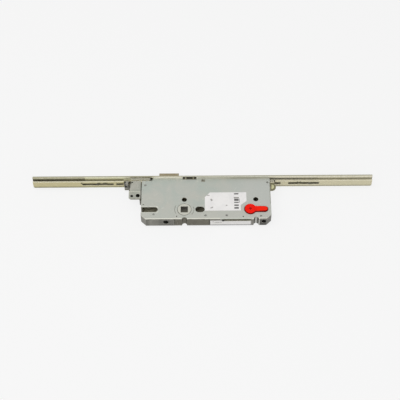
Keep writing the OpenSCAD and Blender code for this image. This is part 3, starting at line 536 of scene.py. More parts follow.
# Faceplate: yellow at one end, pale beside the guide, cream at the latch and the other end, grey between.
# Painted shade falls along the far part of its long edge, behind the rods, on its back over the case, above
# the guide, at the end of the strip above the guide and in the notch of its edge, which holds two paler
# spots.
# Painted light lifts its shaded back above the cover, beside the guide and below the rod's edge at the right
# end.
FACE_NEAR, FACE_PIP = (40, 53.5), ((51.5, 54.2), (7.2, 10.6))
AT_UPPER_ROD, AT_KEEPER, AT_GUIDE, AT_LATCH = (-141, -84.4), (-86.5, -76.5), (-76.5, -46), (-42, -4)
FACE_MARKS = (
    Mark("face_pale", 0.9, span(AT_UPPER_ROD, FACE_NEAR), 1.2),
    Mark("face_cream", 0.9, span(AT_LATCH, FACE_NEAR), 1.2),
    Mark("face_grey", 0.9, span((-4, 120), FACE_NEAR), 1.2),
    Mark("face_cream", 1.0, span((120, FAR), FACE_NEAR), 1.2),
    Mark("face_top", 0.8, span(y=(53.5, 56)), 0.3, ABOVE),
    Mark("face_cream", 1.0, span(AT_LATCH, (40, 53.3)), 0.4, ABOVE),
    Mark("grease", 0.95, span(z=(-8.6, 8.6)), 0.7, BEHIND, metal=0.3),
    Mark("grease", 0.95, span((-FAR, -141), z=(-10.2, 10.2)), 0.9, BEHIND, metal=0.2),
    Mark("black", 0.6, span((-FAR, -170), z=(-8.6, 8.6)), 0.9, BEHIND, metal=0.2),
    Mark("grease_thin", 0.8, span(AT_UPPER_ROD, z=(-9.4, 9.4)), 1.0, BEHIND),
    # Painted light: cream on the faceplate's back below the rod's edge, as if that edge caught the light
    Mark("face_cream", 1.0, span((118, FAR), z=(4.0, 6.7)), 0.3, BEHIND),
    Mark("black", 0.95, span((118, 190), z=(6.9, 9.3)), 0.2, BEHIND, metal=0.05),
    Mark("grease_thin", 0.3, span((165, FAR), z=(6, 9)), 0.8, BEHIND),
    Mark("face_pale", 1.0, span(AT_KEEPER, z=(2, 16)), 1.2, BEHIND),
    Mark("cut_edge", 1.0, span(AT_GUIDE, z=(4, 16)), 1.0, BEHIND),
    Mark("grime", 0.9, span(AT_GUIDE, (40, 53.3), (10.2, 16)), 0.5),
    Mark("cut_edge", 0.9, span((-44, 120), z=(7.5, 16)), 0.8, BEHIND),
    Mark("face_top", 0.45, span((19, 120), z=(9, 16)), 0.8, BEHIND),
    Mark("face_top", 0.5, span((60, 112)), 15.0, BEHIND),
    Mark("black", 1.0, span((-48.5, -45.2), z=(6.8, 10.8)), 0.3, BEHIND, metal=2.2),
    Mark("pit", 1.0, span((-2.6, 17.1), (51.9, 53.8), (7.0, 10.8)), 0.15, metal=0.2),
    Mark("grease_thin", 1.0, span((0.8, 2.8), *FACE_PIP), 0.2),
    Mark("grease_thin", 1.0, span((11.7, 13.7), *FACE_PIP), 0.2),
)

# Rods: painted highlight on their upper edge, paler at the lower end, painted shade along their lower edge,
# in and round their slots, round the studs and a slot's end, as a dark line by the slide's tab and in the
# gaps at the keeper and the guide. The slide's lug has painted shade on its plate round the crown.
ROD_SLOT = ((49.9, 51), (-2.7, 2.7))
ROD_SHORT_SLOT = (-97.5, -86.5)
ROD_SLOT_SHADES = (((-146.5, -100.5), 0.5), (ROD_SHORT_SLOT, 0.5), ((127.5, 136.8), 0.8), ((147, 191.5), 0.8))
ROD_SPOT_SHADES = ((-147.5, -145), (-124.1, -119.6), (-116, -109.6), (159.5, 161.4), (163.2, 165.6))
ROD_GAPS = ((-86.2, -82.4), (-79.6, -75.6))
ROD_MARKS = (
    Mark("face_cream", 0.5, span((110, FAR)), 4.0),
    Mark("gold_top", 0.95, facing=ABOVE),
    Mark("gold_low", 0.85, span(z=(-FAR, -4.4)), 0.5),
    Mark("grease", 0.95, span((-FAR, FAR), *ROD_SLOT), 0.1, metal=0.2),
    Mark("gold_low", 0.7, span(ROD_SHORT_SLOT, *ROD_SLOT), 0.1),
    *(Mark("grease", part, span(x, z=(1.9, 3.5)), 0.4, BEHIND, metal=0.3) for x, part in ROD_SLOT_SHADES),
    Mark("guide_warm", 0.75, span((118, 127), (48, 51), (-3, 7)), 0.2),
    Mark("grease", 0.95, span((127, 128.75), (48.9, 51), (-1, 7)), 0.1, metal=0.2),
    *(Mark("grease", 0.9, span(x, z=(1.8, 4.8)), 0.4, BEHIND, metal=0.3) for x in ROD_SPOT_SHADES),
    *(Mark("hub_bore", 1.0, span(x, (48, 50.2), (2, 7)), 0.5, metal=0.2) for x in ROD_GAPS),
    Mark("lug_rim", 0.95, span((121.2, 132), (32, 46), (3, 8)), 0.2, metal=0.7),
)

# Rear strip: darker at its joints and beside its notch
STRIP_SEAMS = (((-15, -13.2), 0.9, 0.4), ((33.8, 37), 0.7, 0.6), ((2.4, 4.2), 0.7, 0.5))
STRIP_MARKS = tuple(Mark("seam", part, span(x, (-20, -14)), soft) for x, part, soft in STRIP_SEAMS)

# Follower: pale faces, painted shade on its sides and in its square hole, and painted light towards the
# hole's lower end
HUB_MARKS = (
    Mark("hub_low", 0.9, span(z=(-9, -0.5)), 3.0),
    Mark("hub", facing=ABOVE),
    Mark("hub", facing=BELOW),
)

# Platings: two colours, roughness, metallic value, scale of the patches, share of drawn lines from 0, a dull
# mottled sheet, to 1, a bar drawn along X, how far the edges are rubbed, and the marks
Plating = namedtuple("Plating", "base second roughness metallic patch_scale drawn rub marks",
                     defaults=(0.5, ()))
PLATINGS = {
    "cover_sheet": Plating("cover", "cover_warm", 0.5, 0.35, 38.0, 0.08, 0.5, COVER_MARKS),
    "guide_sheet": Plating("guide", "guide_warm", 0.5, 0.35, 38.0, 0.08, 0.5, GUIDE_MARKS),
    "tray_sheet": Plating("tray", "tray_warm", 0.48, 0.35, 45.0, 0.1, 0.5, TRAY_MARKS),
    "housing_sheet": Plating("steel", "steel_warm", 0.48, 0.35, 60.0, 0.1, 0.5, HOUSING_MARKS),
    "face_strip": Plating("face", "face_warm", 0.4, 0.4, 30.0, 1.0, 0.5, FACE_MARKS),
    "gold_rod": Plating("gold", "gold_warm", 0.42, 0.45, 26.0, 0.85, 0.5, ROD_MARKS),
    "dark_strip": Plating("dark", "dark_warm", 0.55, 0.3, 70.0, 0.3, 0.3, STRIP_MARKS),
    "hub_steel": Plating("hub_bore", "hub_bore", 0.42, 0.35, 120.0, 0.2, 0.3, HUB_MARKS),
    "gold_lug": Plating("lug", "gold_warm", 0.32, 0.5, 60.0, 0.2, 0.4),
    "bronzed_latch": Plating("latch", "latch_warm", 0.4, 0.4, 80.0, 0.5),
    "plain_steel": Plating("steel", "steel_warm", 0.38, 0.6, 120.0, 0.2),
    "rivet_steel": Plating("rivet", "rivet_pale", 0.42, 0.45, 300.0, 0.0, 0.2),
    "stud_steel": Plating("stud", "seam", 0.4, 0.4, 200.0, 0.0, 0.2),
    "black_oxide": Plating("black", "black_warm", 0.5, 0.9, 200.0, 0.0, 0.1),
    "spring_wire": Plating("spring", "spring_warm", 0.3, 0.8, 150.0, 0.3),
}
# How far drawn lines hide the patches, and what specks and scuffs do to the colour and the height
LINES_HIDE = 0.6
SPECK_TONE, SPECK_SHARE = 0.82, 0.16
SCUFF_SHARE, SCUFF_DEPTH = 0.25, 0.8
# What grain takes from and adds to the roughness, and what rubbing takes from it
SMOOTHER, ROUGHER, WORN_SMOOTH = 0.07, 0.09, 0.12
# Reliefs: strength, and depth in millimetres
METAL_RELIEF, PLUG_RELIEF, PAPER_RELIEF = (0.1, 0.04), (0.12, 0.05), (0.08, 0.03)


def plated(name):
    """A plated metal: patches of two tones, drawn lines, marks, specks, hair scuffs and rubbed edges."""
    own = PLATINGS[name]
    material, tree, shader, coords = blank_material(name)
    place = coords["Object"]
    edge = add(tree, "ShaderNodeAttribute", attribute_name=EDGE_STRIP).outputs["Fac"]
    mottle = effect(tree, "plating_mottle", {"Vector": place, "Patch Scale": own.patch_scale})
    lines = effect(tree, "drawn_lines", {"Vector": place})
    scuffs = effect(tree, "hair_scuffs", {"Vector": place})["Scuffs"]
    worn = effect(tree, "edge_rub", {"Vector": place, "Edge": edge, "Amount": own.rub})["Rub"]
    streaks = times(tree, lines["Bands"], own.drawn)
    patches = times(tree, mottle["Patches"], 1 - LINES_HIDE * own.drawn)
    shade = mixed(tree, math_node(tree, "MAXIMUM", streaks, patches), tone(own.base), tone(own.second))
    metal = own.metallic
    for mark in own.marks:
        share = marked(tree, coords, mark)
        shade = mixed(tree, share, shade, tone(mark.shade))
        if mark.metal != 1:
            metal = times(tree, ranged(tree, share, 0.0, 1.0, 1.0, mark.metal), metal)
    dark = [part * SPECK_TONE for part in tone(own.base)[:3]]
    shade = mixed(tree, times(tree, mottle["Specks"], SPECK_SHARE), shade, (*dark, 1.0))
    shade = mixed(tree, times(tree, scuffs, SCUFF_SHARE), shade, tone("rub"))
    shade = mixed(tree, worn, shade, tone("rub"))
    grain = mixed_value(tree, own.drawn, mottle["Specks"], lines["Lines"])
    rough = ranged(tree, grain, 0.0, 1.0, own.roughness - SMOOTHER, own.roughness + ROUGHER)
    rough = math_node(tree, "SUBTRACT", rough, times(tree, worn, WORN_SMOOTH))
    height = math_node(tree, "SUBTRACT", grain, times(tree, scuffs, SCUFF_DEPTH))
    surface(tree, shader, shade, rough, height, *METAL_RELIEF)
    fill(tree, shader, {"Metallic": metal})
    return material


def finish_of(name):
    """The material of one finish, made the first time that it is asked for."""
    return bpy.data.materials.get(name) or plated(name)


def rounded_mesh(node, width):
    """Copy of a node's mesh with its doubles merged, its flat facets joined and each outer edge that turns by
    more than 28 degrees rounded with two facets. The rounded strips hold 1 in the attribute edge_strip."""
    shape = bmesh.new()
    shape.from_mesh(frame["nodes"][node].data)
    bmesh.ops.remove_doubles(shape, verts=shape.verts, dist=MERGE_DISTANCE)
    bmesh.ops.dissolve_limit(shape, angle_limit=FLAT_ANGLE, verts=shape.verts, edges=shape.edges)
    strip = shape.faces.layers.float.new(EDGE_STRIP)
    sharp = [e for e in shape.edges if e.is_manifold and e.is_convex and e.calc_face_angle() > EDGE_ANGLE]
    made = bmesh.ops.bevel(shape, geom=sharp, offset=width, offset_type="OFFSET", segments=EDGE_FACETS,
                           profile=0.5, affect="EDGES", clamp_overlap=False)
    for face in made["faces"]:
        face[strip] = 1.0
    mesh = bpy.data.meshes.new(node + "_rounded")
    shape.to_mesh(mesh)
    shape.free()
    return mesh


def place_piece(name, mesh, body, slot, material, *replaced):
    """Puts a finished mesh into the scene on its body, in place of the nodes that it stands for."""
    piece = bpy.data.objects.new(name, mesh)
    bpy.context.scene.collection.objects.link(piece)
    mesh.materials.clear()
    mesh.materials.append(material)
    mesh.polygons.foreach_set("use_smooth", np.ones(len(mesh.polygons), dtype=bool))
    mesh.set_sharp_from_angle(angle=SMOOTH_ANGLE)
    weighted = piece.modifiers.new("even_normals", "WEIGHTED_NORMAL")
    weighted.keep_sharp = True
    weighted.weight = NORMAL_WEIGHT
    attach(piece, body)
    if replaced:
        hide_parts(*replaced)
    return piece


def stand_in(node, ending, mesh, material):
    """Puts a mesh in the place of one node, under the node's name with an ending."""
    return place_piece(node + ending, mesh, BODY_OF[node], SLOT_OF[node], material, node)


def dress(node, width, finish):
    """Puts a rounded and finished copy in the place of one node."""
    return stand_in(node, "_finish", rounded_mesh(node, width), finish_of(finish))


def closed_grid(rows, columns):
    """Faces of a grid of points whose columns run round and close."""
    here = np.arange(columns)
    after = np.roll(here, -1)
    start = np.arange(rows - 1)[:, None] * columns
    return np.stack((start + here, start + after, start + columns + after, start + columns + here),
                    axis=2).reshape(-1, 4).tolist()


def lathe(profile, sides=40):
    """Closed surface of revolution about Z: each profile point (radius, height) is carried round the axis,
    x = radius cos t, y = radius sin t, z = height. Both ends of the profile lie on the axis."""
    radius, height = np.array(profile, dtype=float).T[:, :, None]
    turn = np.linspace(0, 2 * np.pi, sides, endpoint=False)
    points = np.stack(np.broadcast_arrays(radius * np.cos(turn), radius * np.sin(turn), height), axis=2)
    return points.reshape(-1, 3), closed_grid(len(profile), sides)


def joined(parts):
    """Several (points, faces) shapes as one, with the faces renumbered."""
    points, faces, start = [], [], 0
    for some_points, some_faces in parts:
        points.append(some_points)
        faces += [[start + corner for corner in face] for face in some_faces]
        start += len(some_points)
    return np.concatenate(points), faces


def mesh_of(name, shape):
    """A mesh from (points, faces), with its poles and seams merged and its normals turned outwards."""
    points, faces = shape
    mesh = bpy.data.meshes.new(name)
    mesh.from_pydata(points.tolist(), [], faces)
    turned = bmesh.new()
    turned.from_mesh(mesh)
    bmesh.ops.remove_doubles(turned, verts=turned.verts, dist=MERGE_DISTANCE)
    bmesh.ops.recalc_face_normals(turned, faces=turned.faces)
    turned.to_mesh(mesh)
    turned.free()
    return mesh


def islands(node):
    """Lowest and highest corner of each separate solid of a node, from left to right."""
    shape = bmesh.new()
    shape.from_mesh(frame["nodes"][node].data)
    bmesh.ops.remove_doubles(shape, verts=shape.verts, dist=MERGE_DISTANCE)
    waiting, found = set(shape.verts), []
    while waiting:
        reached = [waiting.pop()]
        for vert in reached:
            fresh = [edge.other_vert(vert) for edge in vert.link_edges]
            fresh = [other for other in fresh if other in waiting]
            waiting.difference_update(fresh)
            reached += fresh
        spread = np.array([vert.co for vert in reached])
        found.append((spread.min(axis=0), spread.max(axis=0)))
    shape.free()
    return sorted(found, key=lambda box: box[0][0])


# A rivet's head: the groove as shares of the inner radius and the ring's depth, and points of the dome as
# shares of the dome's radius and the ring's depth
GROOVE_WIDTH, GROOVE_DEPTH = 0.45, 0.8
RIVET_DOME = ((0.7, 0.12), (0.35, 0.2), (0, 0.22))


def rivet_shape(low, high, spread, ring, dish):
    """A headed rivet between two heights: a lathe whose head rises in a low dome, dips in a ring and meets
    the sheet with a rounded rim, the same at both ends. Each head spreads a little over its hole."""
    radius = (high[0] - low[0]) / 2 + spread
    half = (high[2] - low[2]) / 2
    inside = radius - ring
    bend = np.linspace(0, np.pi / 2, 5)
    rim = np.stack((radius - ring * (1 - np.cos(bend)), half - dish * (1 - np.sin(bend))), axis=1)
    sweep = np.linspace(0, np.pi, 9)
    narrowed = inside * (1 - GROOVE_WIDTH * sweep / np.pi)
    groove = np.stack((narrowed, half - dish * GROOVE_DEPTH * np.sin(sweep)), axis=1)
    dome = np.array(RIVET_DOME) * (inside * (1 - GROOVE_WIDTH), dish) + (0, half)
    head = np.concatenate((rim, groove[1:], dome))
    points, faces = lathe(np.concatenate((head[::-1] * (1, -1), head)))
    return points + (low + high) / 2, faces


def keyhole_outline(centre_x, radius, root_half, tip_half, end_x, steps=120):
    """Closed outline of a round with a tapered stem: an arc, the stem's sides and its round end."""
    opening = math.asin(root_half / radius)
    turn = np.linspace(opening, 2 * np.pi - opening, steps)
    bow = np.stack((centre_x + radius * np.cos(turn), radius * np.sin(turn)), axis=1)
    start_x, stop_x = centre_x + radius * math.cos(opening), end_x - tip_half
    share = np.linspace(0, 1, 14)[1:-1, None]
    side = (start_x, root_half) + share * (stop_x - start_x, tip_half - root_half)
    tip = np.linspace(-np.pi / 2, np.pi / 2, steps // 3)
    end = np.stack((stop_x + tip_half * np.cos(tip), tip_half * np.sin(tip)), axis=1)
    return np.concatenate((bow, side * (1, -1), end, side[::-1])), stop_x


# Rings under and on the plug, as shares of the way from its spine to its outline
BASE_RINGS = (0.0, 0.5)
TOP_RINGS = (0.75, 0.6, 0.45, 0.34, 0.26, 0.2, 0.16, 0.12, 0.08, 0.04, 0.0)


def plug_shape(box, cover_top, own):
    """The plug: its outline carried up the side, drawn in above the cover, over an arc and in to the spine.

    Each row holds an inset d and a height z. A point lies at outline minus d along the line to the spine.
    The top sinks by dish (1 - (r / dish_radius)^4) within dish_radius of the round's centre."""
    low, high = box
    radius = (high.y - low.y) / 2 - own.plug_gap
    centre_x = low.x + radius + own.plug_gap
    outline, stop_x = keyhole_outline(centre_x, radius, own.plug_stem / 2, own.plug_tip / 2,
                                      high.x - own.plug_gap)
    spine = np.stack((np.clip(outline[:, 0], centre_x, stop_x), np.zeros(len(outline))), axis=1)
    spread = outline - spine
    reach = np.linalg.norm(spread, axis=1)[None, :, None]
    bend = np.linspace(0, np.pi / 2, 7)
    side = [(0.0, low.z), (0.0, cover_top)]
    arc = np.stack((own.plug_taper + own.plug_round * (1 - np.cos(bend)),
                    high.z - own.plug_round * (1 - np.sin(bend))), axis=1)
    rows = np.concatenate((side, arc))
    base = spine + spread * np.array(BASE_RINGS)[:, None, None]
    wall = spine + spread * (1 - rows[:, 0, None, None] / reach)
    drawn_in = 1 - (own.plug_taper + own.plug_round) / reach
    top = spine + spread * np.array(TOP_RINGS)[:, None, None] * drawn_in
    flat = np.concatenate((base, wall, top))
    tall = np.concatenate((np.full(len(base), low.z), rows[:, 1], np.full(len(top), high.z)))
    tall = np.broadcast_to(tall[:, None], flat.shape[:2]).copy()
    away = np.hypot(flat[..., 0] - centre_x, flat[..., 1])
    sink = own.plug_dish * np.clip(1 - (away / own.plug_dish_radius) ** 4, 0, None)
    first_top = len(base) + len(side)
    tall[first_top:] -= sink[first_top:]
    points = np.concatenate((flat, tall[..., None]), axis=2).reshape(-1, 3)
    return points, closed_grid(len(flat), len(outline))


NUT_CUT = 0.3        # share of a nut's wall that its lower edge loses


def nut_shape(at, radius, top, depth, wall):
    """A blind nut that hangs from a sheet: a lathe of its floor, its bore, its rim and its outside, whose
    lower edge is cut off."""
    out, cut, floor = radius + wall, NUT_CUT * wall, wall - depth
    profile = [(0, floor), (radius, floor), (radius, 0), (out, 0), (out, cut - depth), (out - cut, -depth),
               (0, -depth)]
    points, faces = lathe(profile)
    return points + (*at, top), faces


# Rings of the crown's foot, and how far it is sunk as a share of the crown's rise
CROWN_FOOT, CROWN_SINK = (0.0, 0.6, 1.0), 0.3
NEARLY_NONE = 1e-6


def crown_shape(middle, radius, flat_x, base, rise, sides=96):
    """Pillow on a round that a straight side cuts off. A point lies at the share s of the way from the pole
    to the outline, which is the nearer of the circle and the straight side, at base + rise (1 - s^3)^0.6.
    Its foot is sunk into the plate."""
    pole = np.array(((flat_x + middle[0] + radius) / 2, middle[1]))
    turn = np.linspace(0, 2 * np.pi, sides, endpoint=False)
    way = np.stack((np.cos(turn), np.sin(turn)), axis=1)
    off = pole - np.array(middle)
    along = way @ off
    round_reach = np.sqrt(along ** 2 + radius ** 2 - off @ off) - along
    back = np.minimum(way[:, 0], -NEARLY_NONE)
    flat_reach = np.where(way[:, 0] < -NEARLY_NONE, (flat_x - pole[0]) / back, np.inf)
    reach = np.minimum(round_reach, flat_reach)
    share = np.concatenate((CROWN_FOOT, np.cos(np.linspace(0, np.pi / 2, 15))))
    flat = pole + way * (share[:, None] * reach)[..., None]
    tall = base + rise * (1 - np.clip(share, 0, 1) ** 3) ** 0.6
    tall[:len(CROWN_FOOT)] = base - CROWN_SINK * rise
    points = np.concatenate((flat, np.broadcast_to(tall[:, None, None], (*flat.shape[:2], 1))), axis=2)
    return points.reshape(-1, 3), closed_grid(len(share), sides)


# How strong the plug's flow marks are, and the level of its gloss
FLOW_SHARE, PLUG_GLOSS = 0.45, 0.12


def red_plastic():
    """Moulded red plastic: two reds in soft flow marks, painted shade on its sides, in its dimple and on its
    body inside the case, a fine moulded texture and a slight gloss.
    """
    material, tree, shader, coords = blank_material("red_moulding")
    mottle = effect(tree, "plating_mottle", {"Vector": coords["Object"], "Patch Scale": 120.0,
                                             "Speck Scale": 2600.0})
    shade = mixed(tree, times(tree, mottle["Patches"], FLOW_SHARE), tone("plug"), tone("plug_shade"))
    rim = (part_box("cylinder_plug")[1].z - sizes().plug_round) / MM
    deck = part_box("cover_plate")[0].z / MM
    for mark in (Mark("plug_bright", 0.9, span((101, FAR)), 2.0),
                 Mark("plug_side", 0.9, span(z=(-FAR, rim)), 0.25),
                 Mark("plug_side", 0.9, upright=True),
                 Mark("plug_core", 1.0, span(z=(-FAR, deck)), 0.3)):
        shade = mixed(tree, marked(tree, coords, mark), shade, tone(mark.shade))
    rough = ranged(tree, mottle["Specks"], 0.0, 1.0, 0.36, 0.5)
    surface(tree, shader, shade, rough, mottle["Specks"], *PLUG_RELIEF)
    fill(tree, shader, {"Specular IOR Level": PLUG_GLOSS})
    return material


def printed(tree, across, up, marks):
    """Mask of printed rectangles, each given by its middle and half sizes in metres."""
    total = 0.0
    for middle_x, middle_y, half_x, half_y in marks:
        in_x = math_node(tree, "COMPARE", across, middle_x, half_x)
        in_y = math_node(tree, "COMPARE", up, middle_y, half_y)
        total = math_node(tree, "MAXIMUM", times(tree, in_x, in_y), total)
    return total


# How strong the paper's second tone is, and what is left of the ink where it is thinnest
FIBRE_SHARE, INK_LEFT = 0.6, 0.7


def label_paper(name, axes, paper, prints):
    """Label paper in two tones with fibres, and printed rectangles: plain bars, or painted shade where given.
    """
    material, tree, shader, coords = blank_material(name)
    place = coords["Object"]
    apart = add(tree, "ShaderNodeSeparateXYZ", {0: place}).outputs
    across, up = apart[axes[0]], apart[axes[1]]
    mottle = effect(tree, "plating_mottle", {"Vector": place, "Patch Scale": 90.0, "Speck Scale": 3200.0})
    shade = mixed(tree, times(tree, mottle["Patches"], FIBRE_SHARE), *map(tone, paper))
    fade = ranged(tree, mottle["Specks"], 0.0, 1.0, 1.0, INK_LEFT)
    for ink, marks in prints.items():
        share = times(tree, printed(tree, across, up, marks), fade)
        shade = mixed(tree, share, shade, tone(ink))
    rough = ranged(tree, mottle["Specks"], 0.0, 1.0, 0.5, 0.68)
    surface(tree, shader, shade, rough, mottle["Specks"], *PAPER_RELIEF)
    return material


# Plain print on the labels: each rectangle's middle from a label's corner and its half sizes, in millimetres
FRONT_BARS = ((-14.2, -2.6, 3.1, 1.1), (-14.2, -12.8, 3.1, 1.9), (-14.2, -17.2, 3.1, 0.9),
              (-14.2, -21.9, 3.1, 1.2), (-14.2, -26.4, 3.1, 1.4), (-10.2, -14.2, 0.35, 3.4))
FRONT_PALE_BAR = ((-14.2, -9.2, 3.6, 1.0),)
FRONT_DASHES = ((8.8, -11.6, 1.2, 0.6), (9.8, -13.0, 1.3, 0.6), (9.0, -14.0, 0.8, 0.6),
                (9.0, -26.2, 1.4, 0.6), (10.4, -25.0, 1.0, 0.6), (30.2, -22.0, 1.2, 0.6),
                (4.6, -4.8, 2.0, 0.6))
REAR_DASHES = ((4.0, -2.6, 1.0, 0.5), (9.0, -4.0, 3.0, 0.5), (13.0, -3.6, 3.0, 0.5))
# On the rear label: a painted shadow under the slit, and painted shade of the hole at the slit's left end
REAR_SLIT_SHADOW, REAR_HOLE_SHADE = ((37.0, 0.0, 19.0, 1.0),), ((18.0, 0.0, 1.7, 1.6),)
REAR_END_HALF, REAR_FOOT_HALF = 1.8 * MM, 1.6 * MM


def rectangles(x, y, rows):
    """Printed rectangles laid out from a corner of a label."""
    return [(x + right * MM, y + up * MM, wide * MM, tall * MM) for right, up, wide, tall in rows]


class Dressing:
    """A step that rounds and finishes nodes. Each row names a rounding, a finish and its nodes."""
    rows = ()

    def execute(self, context):
        for rounding, finish, *nodes in self.rows:
            for node in nodes:
                dress(node, getattr(sizes(), rounding), finish)
        return {"FINISHED"}


class LOCK_OT_case_shell(Dressing, bpy.types.Operator):
    """Finish the case: tray, cover, rear strip and the blocks behind the faceplate."""
    bl_idname = "lock.case_shell"
    bl_label = "Case shell"
    rows = (("sheet_round", "cover_sheet", "cover_plate"),
            ("sheet_round", "tray_sheet", "case_tray"),
            ("sheet_round", "dark_strip", "rear_spacer", "front_block_mid"),
            ("solid_round", "plain_steel", "front_block_upper", "front_block_lower"))


class LOCK_OT_rod_guide(Dressing, bpy.types.Operator):
    """Finish the guide beside the case: housing, stepped cover and keeper."""
    bl_idname = "lock.rod_guide"
    bl_label = "Rod guide"
    rows = (("sheet_round", "guide_sheet", "guide_cover"),
            ("sheet_round", "housing_sheet", "guide_housing", "rod_keeper"))


# Nuts in millimetres: from the guide's left and right ends, from its rear edge, and their bores' radii
NUT_INSETS, NUT_RISES, NUT_BORES = (4.3, 3.9), (5.3, 5.9), (2.1, 3.0)


class LOCK_OT_guide_nuts(bpy.types.Operator):
    """Make the blind nuts under the two holes of the guide's flange."""
    bl_idname = "lock.guide_nuts"
    bl_label = "Guide nuts"

    def execute(self, context):
        low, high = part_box("guide_cover")
        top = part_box("guide_housing")[1].z - sizes().flange_drop
        places_x = low.x + NUT_INSETS[0] * MM, high.x - NUT_INSETS[1] * MM
        shape = joined([nut_shape((x, low.y + rise * MM), bore * MM, top, sizes().nut_depth, sizes().nut_wall)
                        for x, rise, bore in zip(places_x, NUT_RISES, NUT_BORES)])
        place_piece("guide_flange_nuts", mesh_of("guide_flange_nuts", shape), BODY_OF["guide_cover"],
                    SLOT_OF["rear_spacer"], finish_of("black_oxide"))
        return {"FINISHED"}


class LOCK_OT_faceplate(Dressing, bpy.types.Operator):
    """Finish the faceplate, its countersunk screws and the studs that carry the rods."""
    bl_idname = "lock.faceplate"
    bl_label = "Faceplate"
    rows = (("solid_round", "face_strip", "faceplate"),
            ("fine_round", "plain_steel", "case_screws"),
            ("fine_round", "stud_steel", "guide_studs"))


class LOCK_OT_drive_rods(Dressing, bpy.types.Operator):
    """Finish the drive rods, the slides that move them and the pins between them."""
    bl_idname = "lock.drive_rods"
    bl_label = "Drive rods"
    rows = (("sheet_round", "gold_rod", "upper_rod", "lower_rod", "upper_slide", "lower_slide"),
            ("fine_round", "plain_steel", "upper_rod_pin", "lower_rod_pin"))


# The lug's round: its radius, and its middle's distance behind the faceplate
LUG_RADIUS, LUG_BEHIND_FACE = 6 * MM, 13.3 * MM


class LOCK_OT_lug_crown(bpy.types.Operator):
    """Make the swelled top of the lower slide's lug."""
    bl_idname = "lock.lug_crown"
    bl_label = "Lug crown"

    def execute(self, context):
        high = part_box("lower_slide")[1]
        middle = (high.x - LUG_RADIUS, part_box("faceplate")[0].y - LUG_BEHIND_FACE)
        flat_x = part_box("cover_plate")[1].x + sizes().crown_start
        shape = crown_shape(middle, LUG_RADIUS - sizes().crown_inset, flat_x, high.z, sizes().crown_rise)
        place_piece("lower_slide_crown", mesh_of("lower_slide_crown", shape), BODY_OF["lower_slide"],
                    SLOT_OF["lower_slide"], finish_of("gold_lug"))
        return {"FINISHED"}


class LOCK_OT_bolts(Dressing, bpy.types.Operator):
    """Finish the latch and the deadbolt with their pins, posts and seat."""
    bl_idname = "lock.bolts"
    bl_label = "Latch and deadbolt"
    rows = (("solid_round", "bronzed_latch", "latch_head", "deadbolt"),
            ("fine_round", "plain_steel", "latch_tail", "latch_pin", "deadbolt_pin", "bolt_guide_post",
             "latch_spring_seat"))


class LOCK_OT_key_works(Dressing, bpy.types.Operator):
    """Finish the follower, the gears and their posts."""
    bl_idname = "lock.key_works"
    bl_label = "Follower and gears"
    rows = (("fine_round", "hub_steel", "follower"),
            ("fine_round", "plain_steel", "gear_post", "pinion_post"),
            ("fine_round", "gold_rod", "drive_gear", "cam_wheel", "reversing_pinion"))


class LOCK_OT_springs(bpy.types.Operator):
    """Finish the latch spring and the follower spring."""
    bl_idname = "lock.springs"
    bl_label = "Springs"

    def execute(self, context):
        dress("follower_spring", 0.0, "spring_wire")
        coil = dress("latch_spring", 0.0, "spring_wire")
        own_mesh(coil)
        return {"FINISHED"}


class LOCK_OT_rivets(bpy.types.Operator):
    """Make the rivets that close the case."""
    bl_idname = "lock.rivets"
    bl_label = "Rivets"

    def execute(self, context):
        form = sizes().rivet_spread, sizes().rivet_ring, sizes().rivet_dish
        shape = joined([rivet_shape(low, high, *form) for low, high in islands("case_rivets")])
        stand_in("case_rivets", "_set", mesh_of("case_rivets_set", shape), finish_of("rivet_steel"))
        return {"FINISHED"}


class LOCK_OT_cylinder_plug(bpy.types.Operator):
    """Make the red plug in the cylinder hole."""
    bl_idname = "lock.cylinder_plug"
    bl_label = "Cylinder plug"

    def execute(self, context):
        shape = plug_shape(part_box("cylinder_plug"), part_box("cover_plate")[1].z, sizes())
        stand_in("cylinder_plug", "_moulding", mesh_of("cylinder_plug_moulding", shape), red_plastic())
        return {"FINISHED"}


class LOCK_OT_labels(bpy.types.Operator):
    """Finish the two paper labels, with plain bars in place of print."""
    bl_idname = "lock.labels"
    bl_label = "Labels"

    def execute(self, context):
        low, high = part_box("face_label")
        pale = rectangles(low.x, high.y, FRONT_DASHES) + rectangles(high.x, high.y, FRONT_PALE_BAR)
        paper = label_paper("face_label_paper", ("X", "Y"), ("paper", "paper_shade"),
                            {"ink": rectangles(high.x, high.y, FRONT_BARS), "pale_ink": pale})
        stand_in("face_label", "_sheet", rounded_mesh("face_label", 0.0), paper)
        low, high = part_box("edge_label")
        middle = (low + high) / 2
        end = (high.x, middle.z, REAR_END_HALF, high.z - low.z)
        foot = (middle.x, low.z, high.x - low.x, REAR_FOOT_HALF)
        # The rear label gets painted shade along its foot, a painted shadow under the slit and painted shade
        # at the slit's end
        paper = label_paper("edge_label_paper", ("X", "Z"), ("paper_shade", "paper_old"),
                            {"pale_ink": [*rectangles(low.x, high.z, REAR_DASHES), end], "label_foot_shade": [foot],
                             "slit": rectangles(low.x, high.z, REAR_SLIT_SHADOW),
                             "black": rectangles(low.x, high.z, REAR_HOLE_SHADE)})
        stand_in("edge_label", "_sheet", rounded_mesh("edge_label", 0.0), paper)
        return {"FINISHED"}


def seen_ray(tree):
    """1 for rays that show the background: camera, glossy and transmission rays."""
    path = tree.nodes.new("ShaderNodeLightPath").outputs
    total = math_node(tree, "MAXIMUM", path["Is Camera Ray"], path["Is Glossy Ray"])
    return math_node(tree, "MAXIMUM", total, path["Is Transmission Ray"])


def blended(tree, share, first, second, output):
    """Sends two shaders, mixed by a share, to a new output node."""
    blend = add(tree, "ShaderNodeMixShader", {0: share, 1: first.outputs[0], 2: second.outputs[0]})
    add(tree, output, {"Surface": blend.outputs[0]})


